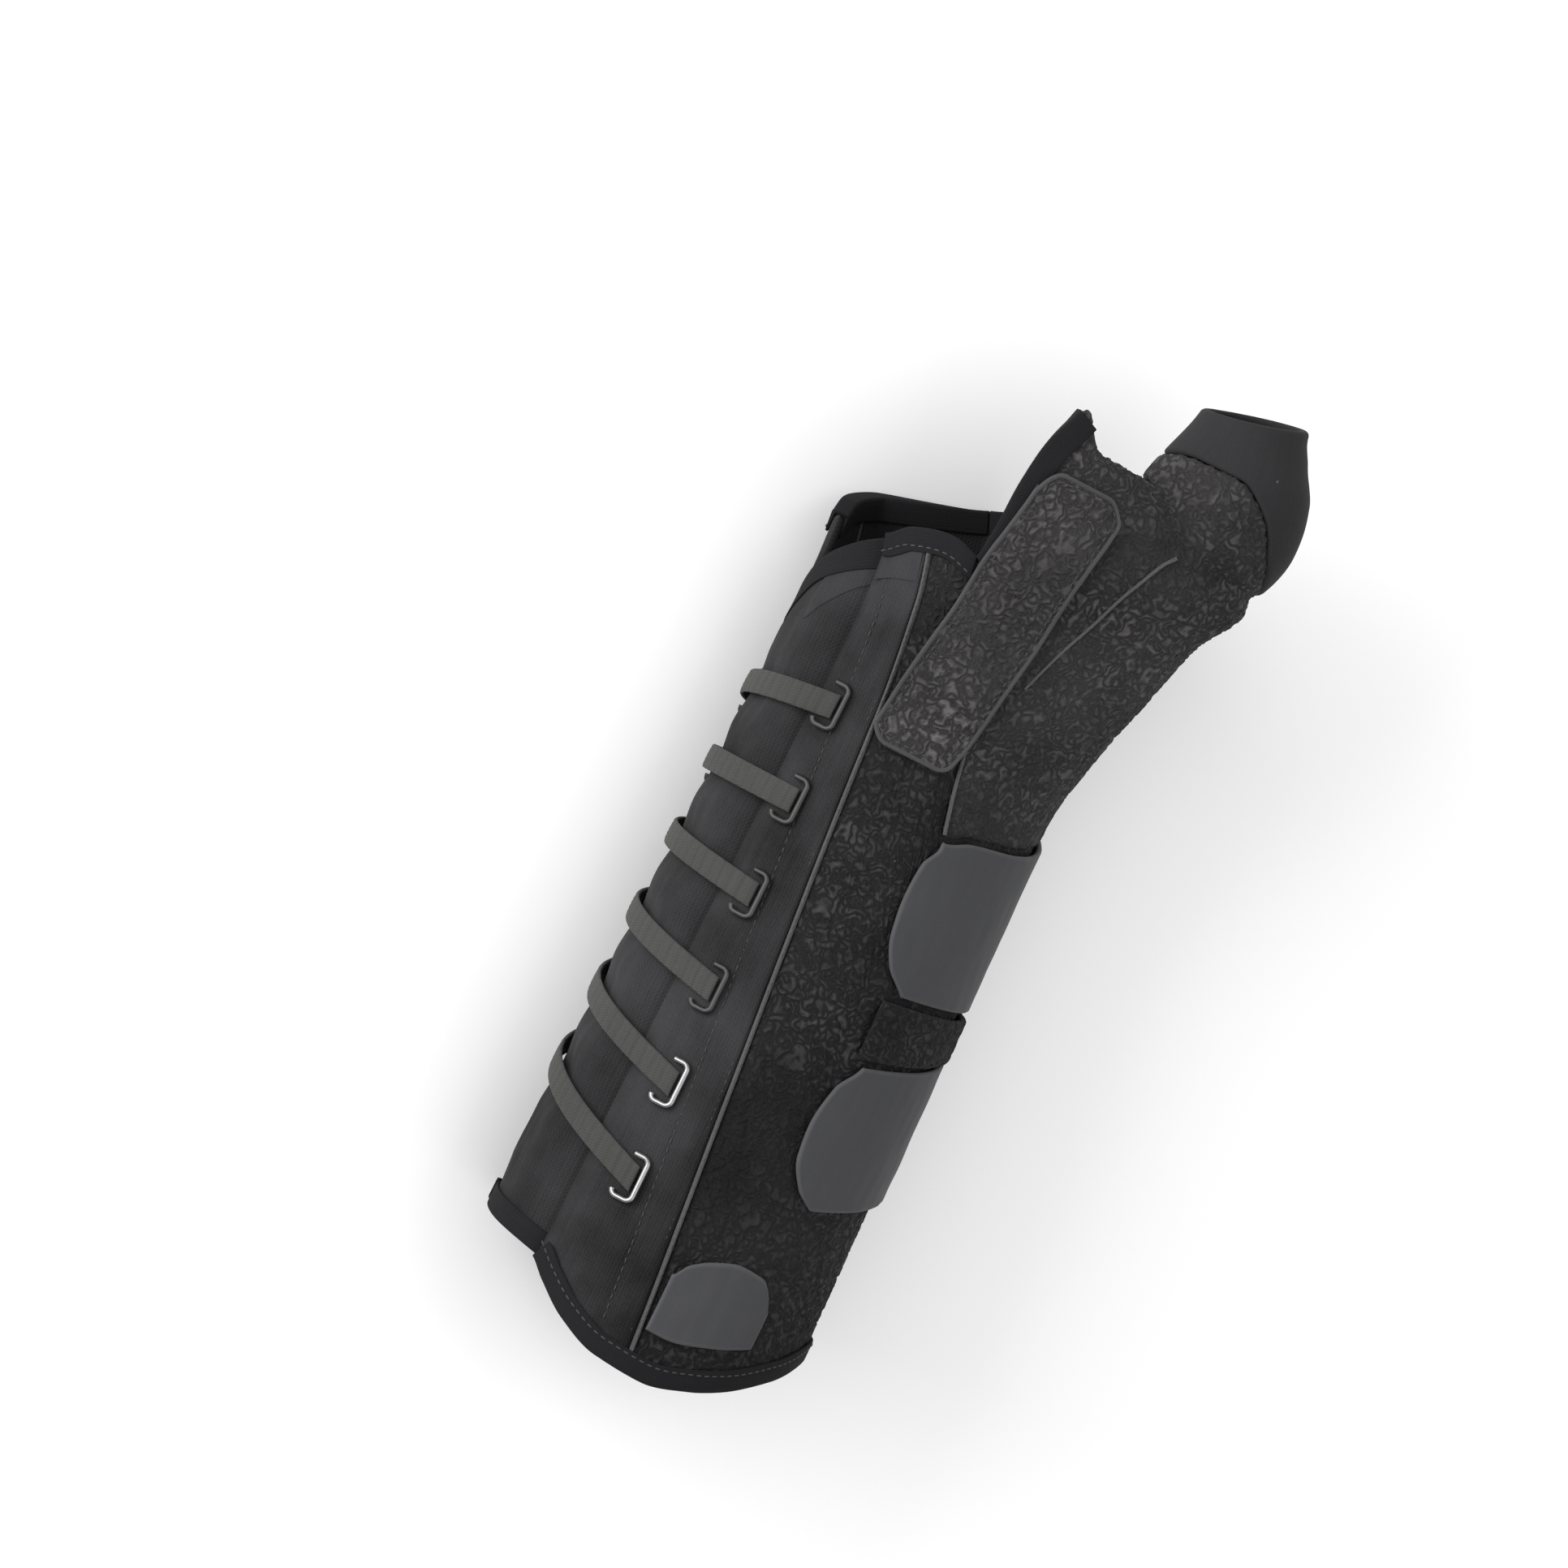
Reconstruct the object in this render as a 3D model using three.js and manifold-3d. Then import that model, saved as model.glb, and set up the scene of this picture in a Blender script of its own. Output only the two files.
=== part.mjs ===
// Thumb spica splint for a left hand, lying on its little-finger side.
// A laced cuff of padded cloth goes round the forearm and wrist, and a gauntlet on it wraps the thumb.
// Millimetres. +Y runs along the forearm to the hand, +Z is the thumb side, -X is the back of the hand.
import * as THREE from 'three';
import { mergeVertices } from 'three/addons/utils/BufferGeometryUtils.js';
import Module from 'manifold-3d';

const wasm = await Module();
wasm.setup();

// Driving dimensions of the cuff
const splintLength = 250;
const forearmDepth = 88.6;
const forearmWidth = 84;
const restFlattening = 2.5;
const rimLift = 1.8;
const rimLiftRun = 12;
const wall = 3;
const fit = 0.3;
const layerGap = 0.7;
const tapeGap = 0.6;

// Driving dimensions of the gauntlet, its thumb sleeve and its straps
const gauntletRise = 0.8;
const gauntletGap = 1;
const thenarHeight = 34;
const thumbBulge = 44;
const thumbMouth = 26.8;
const thumbWall = 2.6;
const thumbRimTilt = 3.3;
const webStrapThickness = 2.2;
const tabThickness = 1.6;
const keeperThickness = 2.2;

// Driving dimensions of the lacing and the trim
const lacingHalfGap = 29;
const laceCount = 6;
const laceWidth = 6.4;
const laceThickness = 1.1;
const loopPitch = 25.1;
const farLoopPitch = 19;
const loopLength = 13;
const loopDepth = 5.5;
const loopCorner = 1.3;
const wireDiameter = 1.5;
const tongueThickness = 2.2;
const tongueBulge = 4;
const tongueTuck = 9;
const weltWidth = 1.2;
const weltRise = 0.8;
const tapeThickness = 0.8;
const tapeWidth = 5;
const tapeMargin = 4;

// Angles run round the limb in degrees, from the thumb side through the palm side
const backAngle = -90;
const nearFreeEdge = backAngle + lacingHalfGap;
const farFreeEdge = backAngle - lacingHalfGap;
const farSeamAngle = -146;
const turn = 360;

// Cross-sections of the cuff: place along the length, shift to the palm, depth and width, as shares
const sections = [
  { at: 0.0, shift: 0.0, depth: 1.0, width: 1.0 },
  { at: 0.264, shift: -0.01, depth: 0.973, width: 0.976 },
  { at: 0.444, shift: -0.016, depth: 0.953, width: 0.94 },
  { at: 0.58, shift: -0.018, depth: 0.937, width: 0.905 },
  { at: 0.68, shift: -0.017, depth: 0.932, width: 0.881 },
  { at: 0.8, shift: -0.04, depth: 0.896, width: 0.917 },
  { at: 0.888, shift: -0.104, depth: 0.8, width: 0.976 },
  { at: 1.0, shift: -0.16, depth: 0.7, width: 1.0 },
  { at: 1.06, shift: -0.185, depth: 0.655, width: 1.0 },
  { at: 1.2, shift: -0.21, depth: 0.62, width: 1.0 },
];

// The swelling over the ball of the thumb: height as a share, and the angle of its crest and its spread
const thenar = [
  { at: 0.66, height: 0.0, angle: 40, spread: 34 },
  { at: 0.732, height: 0.14, angle: 46, spread: 34 },
  { at: 0.812, height: 0.35, angle: 52, spread: 33 },
  { at: 0.888, height: 0.68, angle: 58, spread: 32 },
  { at: 0.948, height: 1.0, angle: 63, spread: 31 },
  { at: 0.985, height: 0.8, angle: 64, spread: 30 },
  { at: 1.03, height: 0.0, angle: 64, spread: 30 },
];

// The thumb tube: place along the length, its centre as shares of the forearm, its diameter of the bulge
const thumbSections = [
  { at: 0.86, x: 0.23, z: 0.694, diameter: 0.77 },
  { at: 0.948, x: 0.32, z: 0.702, diameter: 0.965 },
  { at: 0.968, x: 0.366, z: 0.708, diameter: 1.0 },
  { at: 1.0, x: 0.394, z: 0.714, diameter: 1.0 },
  { at: 1.032, x: 0.403, z: 0.72, diameter: 0.955 },
  { at: 1.064, x: 0.405, z: 0.726, diameter: 0.86 },
  { at: 1.1, x: 0.387, z: 0.732, diameter: 0.69 },
  { at: 1.128, x: 0.366, z: 0.738, diameter: thumbMouth / thumbBulge },
];
const thumbTop = 1.118;
const thumbSeamAngle = 68;

// Edges of the cuff as shares of the length, by angle
const proximalRim = [
  { angle: -119, at: 0.086 },
  { angle: -90, at: 0.076 },
  { angle: -61, at: 0.062 },
  { angle: -53, at: 0.045 },
  { angle: -41, at: 0.021 },
  { angle: -26, at: 0.004 },
  { angle: -8, at: 0.0 },
  { angle: 8, at: 0.011 },
  { angle: 20, at: 0.024 },
  { angle: 41, at: 0.053 },
  { angle: 69, at: 0.084 },
  { angle: 110, at: 0.09 },
  { angle: 150, at: 0.086 },
  { angle: 241, at: 0.086 },
];
const distalRim = [
  { angle: -61, at: 0.847 },
  { angle: -49, at: 0.864 },
  { angle: -33, at: 0.873 },
  { angle: -22, at: 0.866 },
  { angle: -18, at: 0.9 },
  { angle: -15, at: 0.95 },
  { angle: -11, at: 0.995 },
  { angle: -6, at: 1.025 },
  { angle: -1, at: 1.049 },
  { angle: 3, at: 1.034 },
  { angle: 8, at: 1.0155 },
  { angle: 20, at: 1.015 },
  { angle: 42, at: 1.015 },
  { angle: 68, at: 1.008 },
  { angle: 90, at: 0.992 },
  { angle: 120, at: 0.96 },
  { angle: 150, at: 0.925 },
  { angle: 180, at: 0.9 },
  { angle: 213, at: 0.876 },
  { angle: 229, at: 0.864 },
  { angle: 241, at: 0.847 },
];
const tongueTop = [
  { angle: -128, at: 0.72 },
  { angle: -112, at: 0.748 },
  { angle: -94, at: 0.797 },
  { angle: -78, at: 0.822 },
  { angle: -61, at: 0.847 },
  { angle: -52, at: 0.86 },
];
const gauntletFoot = [
  { angle: -22, at: 0.854 },
  { angle: -10, at: 0.78 },
  { angle: 0, at: 0.69 },
  { angle: 8, at: 0.606 },
  { angle: 20, at: 0.617 },
  { angle: 45, at: 0.627 },
  { angle: 68, at: 0.64 },
  { angle: 100, at: 0.672 },
  { angle: 130, at: 0.76 },
  { angle: 148, at: 0.86 },
  { angle: 156, at: 0.9 },
];
const gauntletGrid = { columns: 26, rows: 11, crowd: 1.25 };
const gauntletStart = gauntletFoot[0].angle;
const gauntletEnd = gauntletFoot.at(-1).angle;

// Where the pile of the gauntlet stops on the thumb and the smooth sleeve begins, by angle round the thumb
const sleeveFoot = [
  { angle: -112, at: 1.048 },
  { angle: -60, at: 1.056 },
  { angle: -22, at: 1.056 },
  { angle: 8, at: 1.032 },
  { angle: 28, at: 0.998 },
  { angle: 50, at: 0.974 },
  { angle: 68, at: 0.962 },
  { angle: 90, at: 0.966 },
  { angle: 115, at: 0.99 },
  { angle: 145, at: 1.03 },
  { angle: 200, at: 1.048 },
  { angle: 248, at: 1.048 },
];

// Rounded ends of the pull tabs, by place along the length
const upperTabEnd = [
  { at: 0.444, angle: 19 },
  { at: 0.47, angle: 9 },
  { at: 0.5, angle: 4 },
  { at: 0.54, angle: 2.5 },
  { at: 0.575, angle: 3.5 },
  { at: 0.597, angle: 7.5 },
];
const middleTabEnd = [
  { at: 0.212, angle: 24 },
  { at: 0.235, angle: 13 },
  { at: 0.264, angle: 7 },
  { at: 0.296, angle: 6 },
  { at: 0.34, angle: 9 },
  { at: 0.372, angle: 16 },
];
const tabRunEnd = 102;
const upperTabCorner = 9;

// Straight lines on the cuff: an angle at its lower edge, and how far it drifts over the whole length
const seamLine = { start: -15, drift: -30.1 };
const loopLine = { start: -36.6, drift: -21.6 };

// The slanting edges of the tabs and of the band between them, as shares of the length
const tabSlant = { middle: 10, span: 58 };
const upperTabFoot = { at: 0.446, rise: 0.018 };
const middleTabFoot = { at: 0.212, rise: 0.046 };
const middleTabTop = { at: 0.366, rise: 0.04 };
const keeperFoot = { at: 0.374, rise: 0.036 };
const keeperTop = { at: 0.438, rise: 0.018 };
const keeperStart = 12;
const lowerTabTop = [
  { angle: -15, at: 0.106 },
  { angle: -11, at: 0.121 },
  { angle: -4, at: 0.134 },
  { angle: 6, at: 0.143 },
  { angle: 15, at: 0.141 },
  { angle: 20, at: 0.128 },
  { angle: 23, at: 0.112 },
];
const lowerTabRise = 4.5;

// The web strap: its two long edges, and its two rounded ends with the angle and half width of each
const webStrapLeft = [
  { at: 0.66, angle: -35.5 },
  { at: 0.714, angle: -33.7 },
  { at: 0.783, angle: -28.9 },
  { at: 0.855, angle: -21.7 },
  { at: 0.909, angle: -15.2 },
  { at: 0.952, angle: -11 },
  { at: 0.99, angle: -8.5 },
];
const webStrapRight = [
  { at: 0.66, angle: -3 },
  { at: 0.704, angle: 0.3 },
  { at: 0.773, angle: 4.4 },
  { at: 0.845, angle: 9.5 },
  { at: 0.902, angle: 14.9 },
  { at: 0.958, angle: 20.5 },
  { at: 0.99, angle: 23 },
];
const webStrapFoot = { at: 0.662, round: 0.022, middle: -18, half: 18 };
const webStrapTop = { at: 0.98, round: -0.022, middle: 5.5, half: 15 };
const cornerStart = 0.55;

// Materials
const finish = (color, roughness, metalness = 0) =>
  new THREE.MeshStandardMaterial({ color, roughness, metalness });
const pile = finish(0x2b2b2b, 0.95);
const smooth = finish(0x333438, 0.8);
const lining = finish(0x262626, 0.9);
const tape = finish(0x1f2022, 0.75);
const tabCloth = finish(0x47484b, 0.7);
const laceCloth = finish(0x555452, 0.85);
const weltThread = finish(0x5f5f61, 0.8);
const steel = finish(0xbfbfc2, 0.3, 1);

// A smooth curve through the rows of a table, from one column to another
function curve(rows, from, to) {
  const slope = rows.map((row, i) => {
    const before = rows[Math.max(i - 1, 0)];
    const after = rows[Math.min(i + 1, rows.length - 1)];
    const first = (row[to] - before[to]) / (row[from] - before[from] || 1);
    const second = (after[to] - row[to]) / (after[from] - row[from] || 1);
    return first * second <= 0 ? 0 : (2 * first * second) / (first + second);
  });
  return (value) => {
    const last = rows.length - 1;
    const x = Math.min(Math.max(value, rows[0][from]), rows[last][from]);
    let i = 0;
    while (i < last - 1 && x > rows[i + 1][from]) i += 1;
    const span = rows[i + 1][from] - rows[i][from];
    const s = (x - rows[i][from]) / span;
    const rise = rows[i + 1][to] - rows[i][to];
    const bend = (1 - s) * (slope[i] * span - rise) - s * (slope[i + 1] * span - rise);
    return rows[i][to] + rise * s + s * (1 - s) * bend;
  };
}

const radians = (degrees) => THREE.MathUtils.degToRad(degrees);
const degrees = (angle) => THREE.MathUtils.radToDeg(angle);
const lengthCurve = (rows) => {
  const share = curve(rows, 'angle', 'at');
  return (angle) => share(angle) * splintLength;
};
const angleCurve = (rows) => {
  const angle = curve(rows, 'at', 'angle');
  return (y) => angle(y / splintLength);
};

const shiftShare = curve(sections, 'at', 'shift');
const depthShare = curve(sections, 'at', 'depth');
const widthShare = curve(sections, 'at', 'width');
const thenarShare = curve(thenar, 'at', 'height');
const thenarAngle = curve(thenar, 'at', 'angle');
const thenarSpread = curve(thenar, 'at', 'spread');
const proximalEdge = lengthCurve(proximalRim);
const distalEdge = lengthCurve(distalRim);
const tongueEdge = lengthCurve(tongueTop);
const gauntletEdge = lengthCurve(gauntletFoot);
const lowerTabEdge = lengthCurve(lowerTabTop);
const sleeveEdge = lengthCurve(sleeveFoot);

// The outline of the cuff at one place along it
function cuffSection(y) {
  const at = y / splintLength;
  const halfWidth = (widthShare(at) * forearmWidth) / 2;
  return {
    x: shiftShare(at) * forearmDepth,
    z: halfWidth - restFlattening,
    halfDepth: (depthShare(at) * forearmDepth) / 2,
    halfWidth,
  };
}

function cuffRadius(angle, y, section) {
  const at = y / splintLength;
  const a = radians(angle);
  const oval = 1 / Math.hypot(Math.sin(a) / section.halfDepth, Math.cos(a) / section.halfWidth);
  const fromCrest = ((angle - thenarAngle(at) + turn / 2 + turn) % turn) - turn / 2;
  return oval + thenarHeight * thenarShare(at) * Math.exp(-((fromCrest / thenarSpread(at)) ** 2));
}

// How far the little-finger side lifts off the surface near its two edges
function lift(y) {
  const run = rimLiftRun + tapeWidth + tapeMargin;
  const ends = [proximalEdge(turn / 2) + run - y, y - distalEdge(turn / 2) + run];
  const near = Math.min(Math.max(...ends, 0) / rimLiftRun, 1);
  return rimLift * near * near;
}

// A point of the cuff: angle round it, place along it, and height over its outer face
function cuff(angle, y, height) {
  const section = cuffSection(y);
  const step = 0.5;
  const flat = (value) => {
    const r = cuffRadius(value, y, section);
    return new THREE.Vector2(r * Math.sin(radians(value)), r * Math.cos(radians(value)));
  };
  const along = flat(angle + step).sub(flat(angle - step)).normalize();
  const at = flat(angle);
  const z = section.z + at.y + height * along.x;
  return new THREE.Vector3(section.x + at.x - height * along.y, y, Math.max(z, lift(y) - height));
}

// A point of the thumb tube
const thumbX = curve(thumbSections, 'at', 'x');
const thumbZ = curve(thumbSections, 'at', 'z');
const thumbShare = curve(thumbSections, 'at', 'diameter');
function thumb(angle, y, height) {
  const at = y / splintLength;
  const r = (thumbShare(at) * thumbBulge) / 2 + height;
  const x = thumbX(at) * forearmDepth + r * Math.sin(radians(angle));
  return new THREE.Vector3(x, y, thumbZ(at) * forearmWidth + r * Math.cos(radians(angle)));
}

// The angle that covers a distance round the cuff
function sweepOf(distance, angle, y) {
  return degrees(distance / cuffRadius(angle, y, cuffSection(y)));
}

const valueOf = (size, ...place) => (typeof size === 'function' ? size(...place) : size);

// A closed solid from points and triangles, with its faces turned outward
function solid(points, faces) {
  let volume = 0;
  for (const [a, b, c] of faces) {
    volume += points[a].dot(new THREE.Vector3().crossVectors(points[b], points[c]));
  }
  const geometry = new THREE.BufferGeometry().setFromPoints(points);
  geometry.setIndex(faces.flatMap(([a, b, c]) => (volume > 0 ? [a, b, c] : [a, c, b])));
  geometry.computeVertexNormals();
  return geometry;
}

// Triangles of a grid of columns and rows, whose first point has the given number
function gridFaces(start, columns, rows) {
  const faces = [];
  for (let i = 0; i < columns; i += 1) {
    for (let j = 0; j < rows; j += 1) {
      const a = start + i * (rows + 1) + j;
      const b = a + rows + 1;
      faces.push([a, b, b + 1], [a, b + 1, a + 1]);
    }
  }
  return faces;
}

// A piece of cloth on the cuff: bounded by two angles and two edges, from one height to another
function panel({ left, right, low, high, inner, outer, columns, rows, crowd = 1, ends = false }) {
  const layers = [outer, inner];
  const points = [];
  for (const layer of layers) {
    for (let i = 0; i <= columns; i += 1) {
      for (let j = 0; j <= rows; j += 1) {
        const across = (i / columns) ** crowd;
        const up = ends ? (1 - Math.cos((Math.PI * j) / rows)) / 2 : j / rows;
        let y = splintLength / 2;
        let angle = 0;
        for (let pass = 0; pass < 6; pass += 1) {
          angle = THREE.MathUtils.lerp(valueOf(left, y), valueOf(right, y), across);
          y = THREE.MathUtils.lerp(valueOf(low, angle), valueOf(high, angle), up);
        }
        points.push(cuff(angle, y, valueOf(layer, angle, y)));
      }
    }
  }
  const under = (columns + 1) * (rows + 1);
  const faces = gridFaces(0, columns, rows);
  faces.push(...gridFaces(under, columns, rows).map(([a, b, c]) => [a, c, b]));
  const rim = [];
  for (let i = 0; i < columns; i += 1) rim.push(i * (rows + 1));
  for (let j = 0; j < rows; j += 1) rim.push(columns * (rows + 1) + j);
  for (let i = columns; i > 0; i -= 1) rim.push(i * (rows + 1) + rows);
  for (let j = rows; j > 0; j -= 1) rim.push(j);
  rim.forEach((a, k) => {
    const b = rim[(k + 1) % rim.length];
    faces.push([a, a + under, b + under], [a, b + under, b]);
  });
  return solid(points, faces);
}

// A closed solid of stations that each repeat one closed outline
function sweep(stations, closed) {
  const count = stations[0].length;
  const points = stations.flat();
  const faces = [];
  const last = closed ? stations.length : stations.length - 1;
  for (let i = 0; i < last; i += 1) {
    const next = (i + 1) % stations.length;
    for (let k = 0; k < count; k += 1) {
      const a = i * count + k;
      const b = i * count + ((k + 1) % count);
      const c = next * count + ((k + 1) % count);
      const d = next * count + k;
      faces.push([a, b, c], [a, c, d]);
    }
  }
  if (!closed) {
    const outline = (row) => row.map((point) => point.clone());
    for (const [row, start, facing] of [
      [stations[0], 0, 1],
      [stations.at(-1), (stations.length - 1) * count, -1],
    ]) {
      for (const [a, b, c] of capFaces(outline(row))) {
        faces.push(facing > 0 ? [start + a, start + c, start + b] : [start + a, start + b, start + c]);
      }
    }
  }
  return solid(points, faces);
}

// Triangles over one closed outline, seen along the outline's own normal
function capFaces(row) {
  const normal = new THREE.Vector3();
  row.forEach((point, k) => normal.add(new THREE.Vector3().crossVectors(point, row[(k + 1) % row.length])));
  normal.normalize();
  const across = new THREE.Vector3().subVectors(row[1], row[0]).normalize();
  const up = new THREE.Vector3().crossVectors(normal, across);
  const flat = row.map((point) => new THREE.Vector2(point.dot(across), point.dot(up)));
  return THREE.ShapeUtils.triangulateShape(flat, []);
}

// A tube of cloth round the thumb, and a plug that fills a hollow
function thumbRing(low, high, inner, outer, columns, rows) {
  const stations = [];
  for (let i = 0; i < columns; i += 1) {
    const angle = (i * turn) / columns - turn / 2 + thumbSeamAngle;
    const row = [];
    for (let j = 0; j <= rows; j += 1) {
      row.push(thumb(angle, THREE.MathUtils.lerp(valueOf(low, angle), valueOf(high, angle), j / rows), outer));
    }
    for (let j = rows; j >= 0; j -= 1) {
      row.push(thumb(angle, THREE.MathUtils.lerp(valueOf(low, angle), valueOf(high, angle), j / rows), inner));
    }
    stations.push(row);
  }
  return sweep(stations, true);
}

function plug(place, low, high, height, columns, rows) {
  const stations = [];
  for (let j = 0; j <= rows; j += 1) {
    const row = [];
    for (let i = 0; i < columns; i += 1) {
      row.push(place((i * turn) / columns, THREE.MathUtils.lerp(low, high, j / rows), height));
    }
    stations.push(row);
  }
  return sweep(stations, false);
}

function toManifold(geometry) {
  const bare = geometry.clone();
  bare.deleteAttribute('normal');
  const merged = mergeVertices(bare, 1e-4);
  const vertProperties = new Float32Array(merged.attributes.position.array);
  const triVerts = new Uint32Array(merged.index.array);
  return new wasm.Manifold(new wasm.Mesh({ numProp: 3, vertProperties, triVerts }));
}

function toGeometry(manifold) {
  const mesh = manifold.getMesh();
  const geometry = new THREE.BufferGeometry();
  geometry.setAttribute('position', new THREE.BufferAttribute(new Float32Array(mesh.vertProperties), 3));
  geometry.setIndex(Array.from(mesh.triVerts));
  geometry.computeVertexNormals();
  return geometry;
}

// The cuff's three laced panels, and the tongue under the lacing
const lineOf = ({ start, drift }) => (y) => start + (drift * y) / splintLength;
const nearSeam = lineOf(seamLine);
const loopRow = lineOf(loopLine);
const onFarSide = (angle) => 2 * backAngle - angle;
const farSeam = () => farSeamAngle + turn;
const seamSweep = (seam, y) => sweepOf(weltWidth / 2 + 2 * fit, seam(y), y);

function radialLacingPanel() {
  return panel({
    left: nearFreeEdge,
    right: (y) => nearSeam(y) - seamSweep(nearSeam, y),
    low: proximalEdge,
    high: distalEdge,
    inner: -wall,
    outer: 0,
    columns: 6,
    rows: 14,
  });
}

function ulnarLacingPanel() {
  return panel({
    left: (y) => farSeam() + seamSweep(farSeam, y),
    right: farFreeEdge + turn,
    low: proximalEdge,
    high: distalEdge,
    inner: -wall,
    outer: 0,
    columns: 5,
    rows: 12,
    ends: true,
  });
}

function bodyWrap() {
  const top = (angle) => {
    const covered = angle > gauntletStart && angle < gauntletEnd;
    return covered ? Math.min(distalEdge(angle), gauntletEdge(angle) + 2 * wall) : distalEdge(angle);
  };
  const whole = panel({
    left: (y) => nearSeam(y) + seamSweep(nearSeam, y),
    right: (y) => farSeam() - seamSweep(farSeam, y),
    low: proximalEdge,
    high: top,
    inner: -wall,
    outer: 0,
    columns: 36,
    rows: 13,
    ends: true,
  });
  const place = panel({
    ...gauntletGrid,
    left: gauntletStart - sweepOf(wall / 2, gauntletStart, gauntletEdge(gauntletStart)),
    right: gauntletEnd + sweepOf(wall / 2, gauntletEnd, gauntletEdge(gauntletEnd)),
    low: (angle) => Math.min(...[-1.5, 0, 1.5].map((step) => gauntletEdge(angle + step))) - gauntletGap,
    high: splintLength + tapeWidth * 4,
    inner: -2 * wall,
    outer: wall,
  });
  return toGeometry(toManifold(whole).subtract(toManifold(place)));
}

function seamWelt(middle) {
  const half = (y) => sweepOf(weltWidth / 2, middle(y), y);
  return panel({
    left: (y) => middle(y) - half(y),
    right: (y) => middle(y) + half(y),
    low: (angle) => proximalEdge(angle) + tapeWidth + fit,
    high: (angle) => distalEdge(angle) - tapeWidth - fit,
    inner: -wall / 2,
    outer: weltRise,
    columns: 1,
    rows: 16,
  });
}

function tongue() {
  const tongueDepth = wall + tapeGap + tapeThickness + fit;
  const swell = (angle) => {
    const share = (angle - backAngle) / lacingHalfGap;
    return Math.abs(share) < 1 ? tongueBulge * Math.cos((share * Math.PI) / 2) ** 2 : 0;
  };
  return panel({
    left: farFreeEdge - tongueTuck,
    right: nearFreeEdge + tongueTuck,
    low: proximalEdge,
    high: tongueEdge,
    inner: (angle) => swell(angle) - tongueDepth - tongueThickness,
    outer: (angle) => swell(angle) - tongueDepth,
    columns: 14,
    rows: 10,
    ends: true,
  });
}

// The gauntlet: its panel joins the thumb tube, and both hollows run into each other
const thumbRim = (angle) => thumbTop * splintLength + thumbRimTilt * Math.sin(radians(angle));
const thumbRoot = thumbSections[0].at * splintLength;

function gauntlet() {
  const sheet = panel({
    ...gauntletGrid,
    left: gauntletStart,
    right: gauntletEnd,
    low: gauntletEdge,
    high: distalEdge,
    inner: -wall,
    outer: gauntletRise,
  });
  const tube = thumbRing(thumbRoot, sleeveEdge, -thumbWall, 0, 24, 5);
  const limb = plug(cuff, -splintLength / 10, splintLength * 1.19, -wall, 60, 30);
  const digit = plug(thumb, thumbRoot - 1, splintLength * 1.2, -thumbWall, 24, 9);
  const lower = toManifold(sheet).subtract(toManifold(digit));
  const upper = toManifold(tube).subtract(toManifold(limb));
  return toGeometry(lower.add(upper));
}

function thumbSleeve() {
  return thumbRing((angle) => sleeveEdge(angle) + 2 * fit, thumbRim, -thumbWall, 0, 24, 4);
}

// A sewn tape folded over an edge: its path runs along the edge, and it reaches out on one side
function edgeTape(path, reach) {
  const top = tapeGap + tapeThickness;
  const outline = [
    [-tapeWidth, tapeGap],
    [-tapeWidth, top],
    [tapeGap, top],
    [top, tapeGap],
    [top, -wall - tapeGap],
    [tapeGap, -wall - top],
    [-tapeWidth, -wall - top],
    [-tapeWidth, -wall - tapeGap],
    [tapeGap, -wall - tapeGap],
    [tapeGap, tapeGap],
  ];
  const stations = path.map(({ angle, y }, i) => {
    const before = path[Math.max(i - 1, 0)];
    const after = path[Math.min(i + 1, path.length - 1)];
    const r = cuffRadius(angle, y, cuffSection(y));
    const run = new THREE.Vector2(radians(after.angle - before.angle) * r, after.y - before.y).normalize();
    return outline.map(([out, height]) =>
      cuff(angle - degrees((reach * out * run.y) / r), y + reach * out * run.x, height));
  });
  return sweep(stations, false);
}

function edgePath(edge, from, to, count) {
  return Array.from({ length: count + 1 }, (_, i) => {
    const angle = THREE.MathUtils.lerp(from, to, i / count);
    return { angle, y: edge(angle) };
  });
}

// Straps and pull tabs that lie on the cuff
const slant = ({ at, rise }) => (angle) =>
  (at + (rise * (angle - tabSlant.middle)) / tabSlant.span) * splintLength;

function upperTab() {
  return panel({
    left: angleCurve(upperTabEnd),
    right: tabRunEnd,
    low: slant(upperTabFoot),
    high: (angle) => gauntletEdge(Math.max(angle, upperTabCorner)) - 2 * fit,
    inner: layerGap,
    outer: layerGap + tabThickness,
    columns: 11,
    rows: 6,
    crowd: 1.3,
  });
}

function middleTab() {
  return panel({
    left: angleCurve(middleTabEnd),
    right: tabRunEnd,
    low: slant(middleTabFoot),
    high: slant(middleTabTop),
    inner: layerGap,
    outer: layerGap + tabThickness,
    columns: 11,
    rows: 6,
    crowd: 1.3,
  });
}

function keeperBand() {
  return panel({
    left: keeperStart,
    right: tabRunEnd,
    low: slant(keeperFoot),
    high: slant(keeperTop),
    inner: layerGap,
    outer: layerGap + keeperThickness,
    columns: 12,
    rows: 2,
  });
}

function lowerTab() {
  return panel({
    left: lowerTabTop[0].angle,
    right: lowerTabTop.at(-1).angle,
    low: (angle) => proximalEdge(angle) + tapeWidth + 6 * fit + lowerTabRise,
    high: lowerTabEdge,
    inner: layerGap,
    outer: layerGap + tabThickness,
    columns: 8,
    rows: 3,
  });
}

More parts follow.
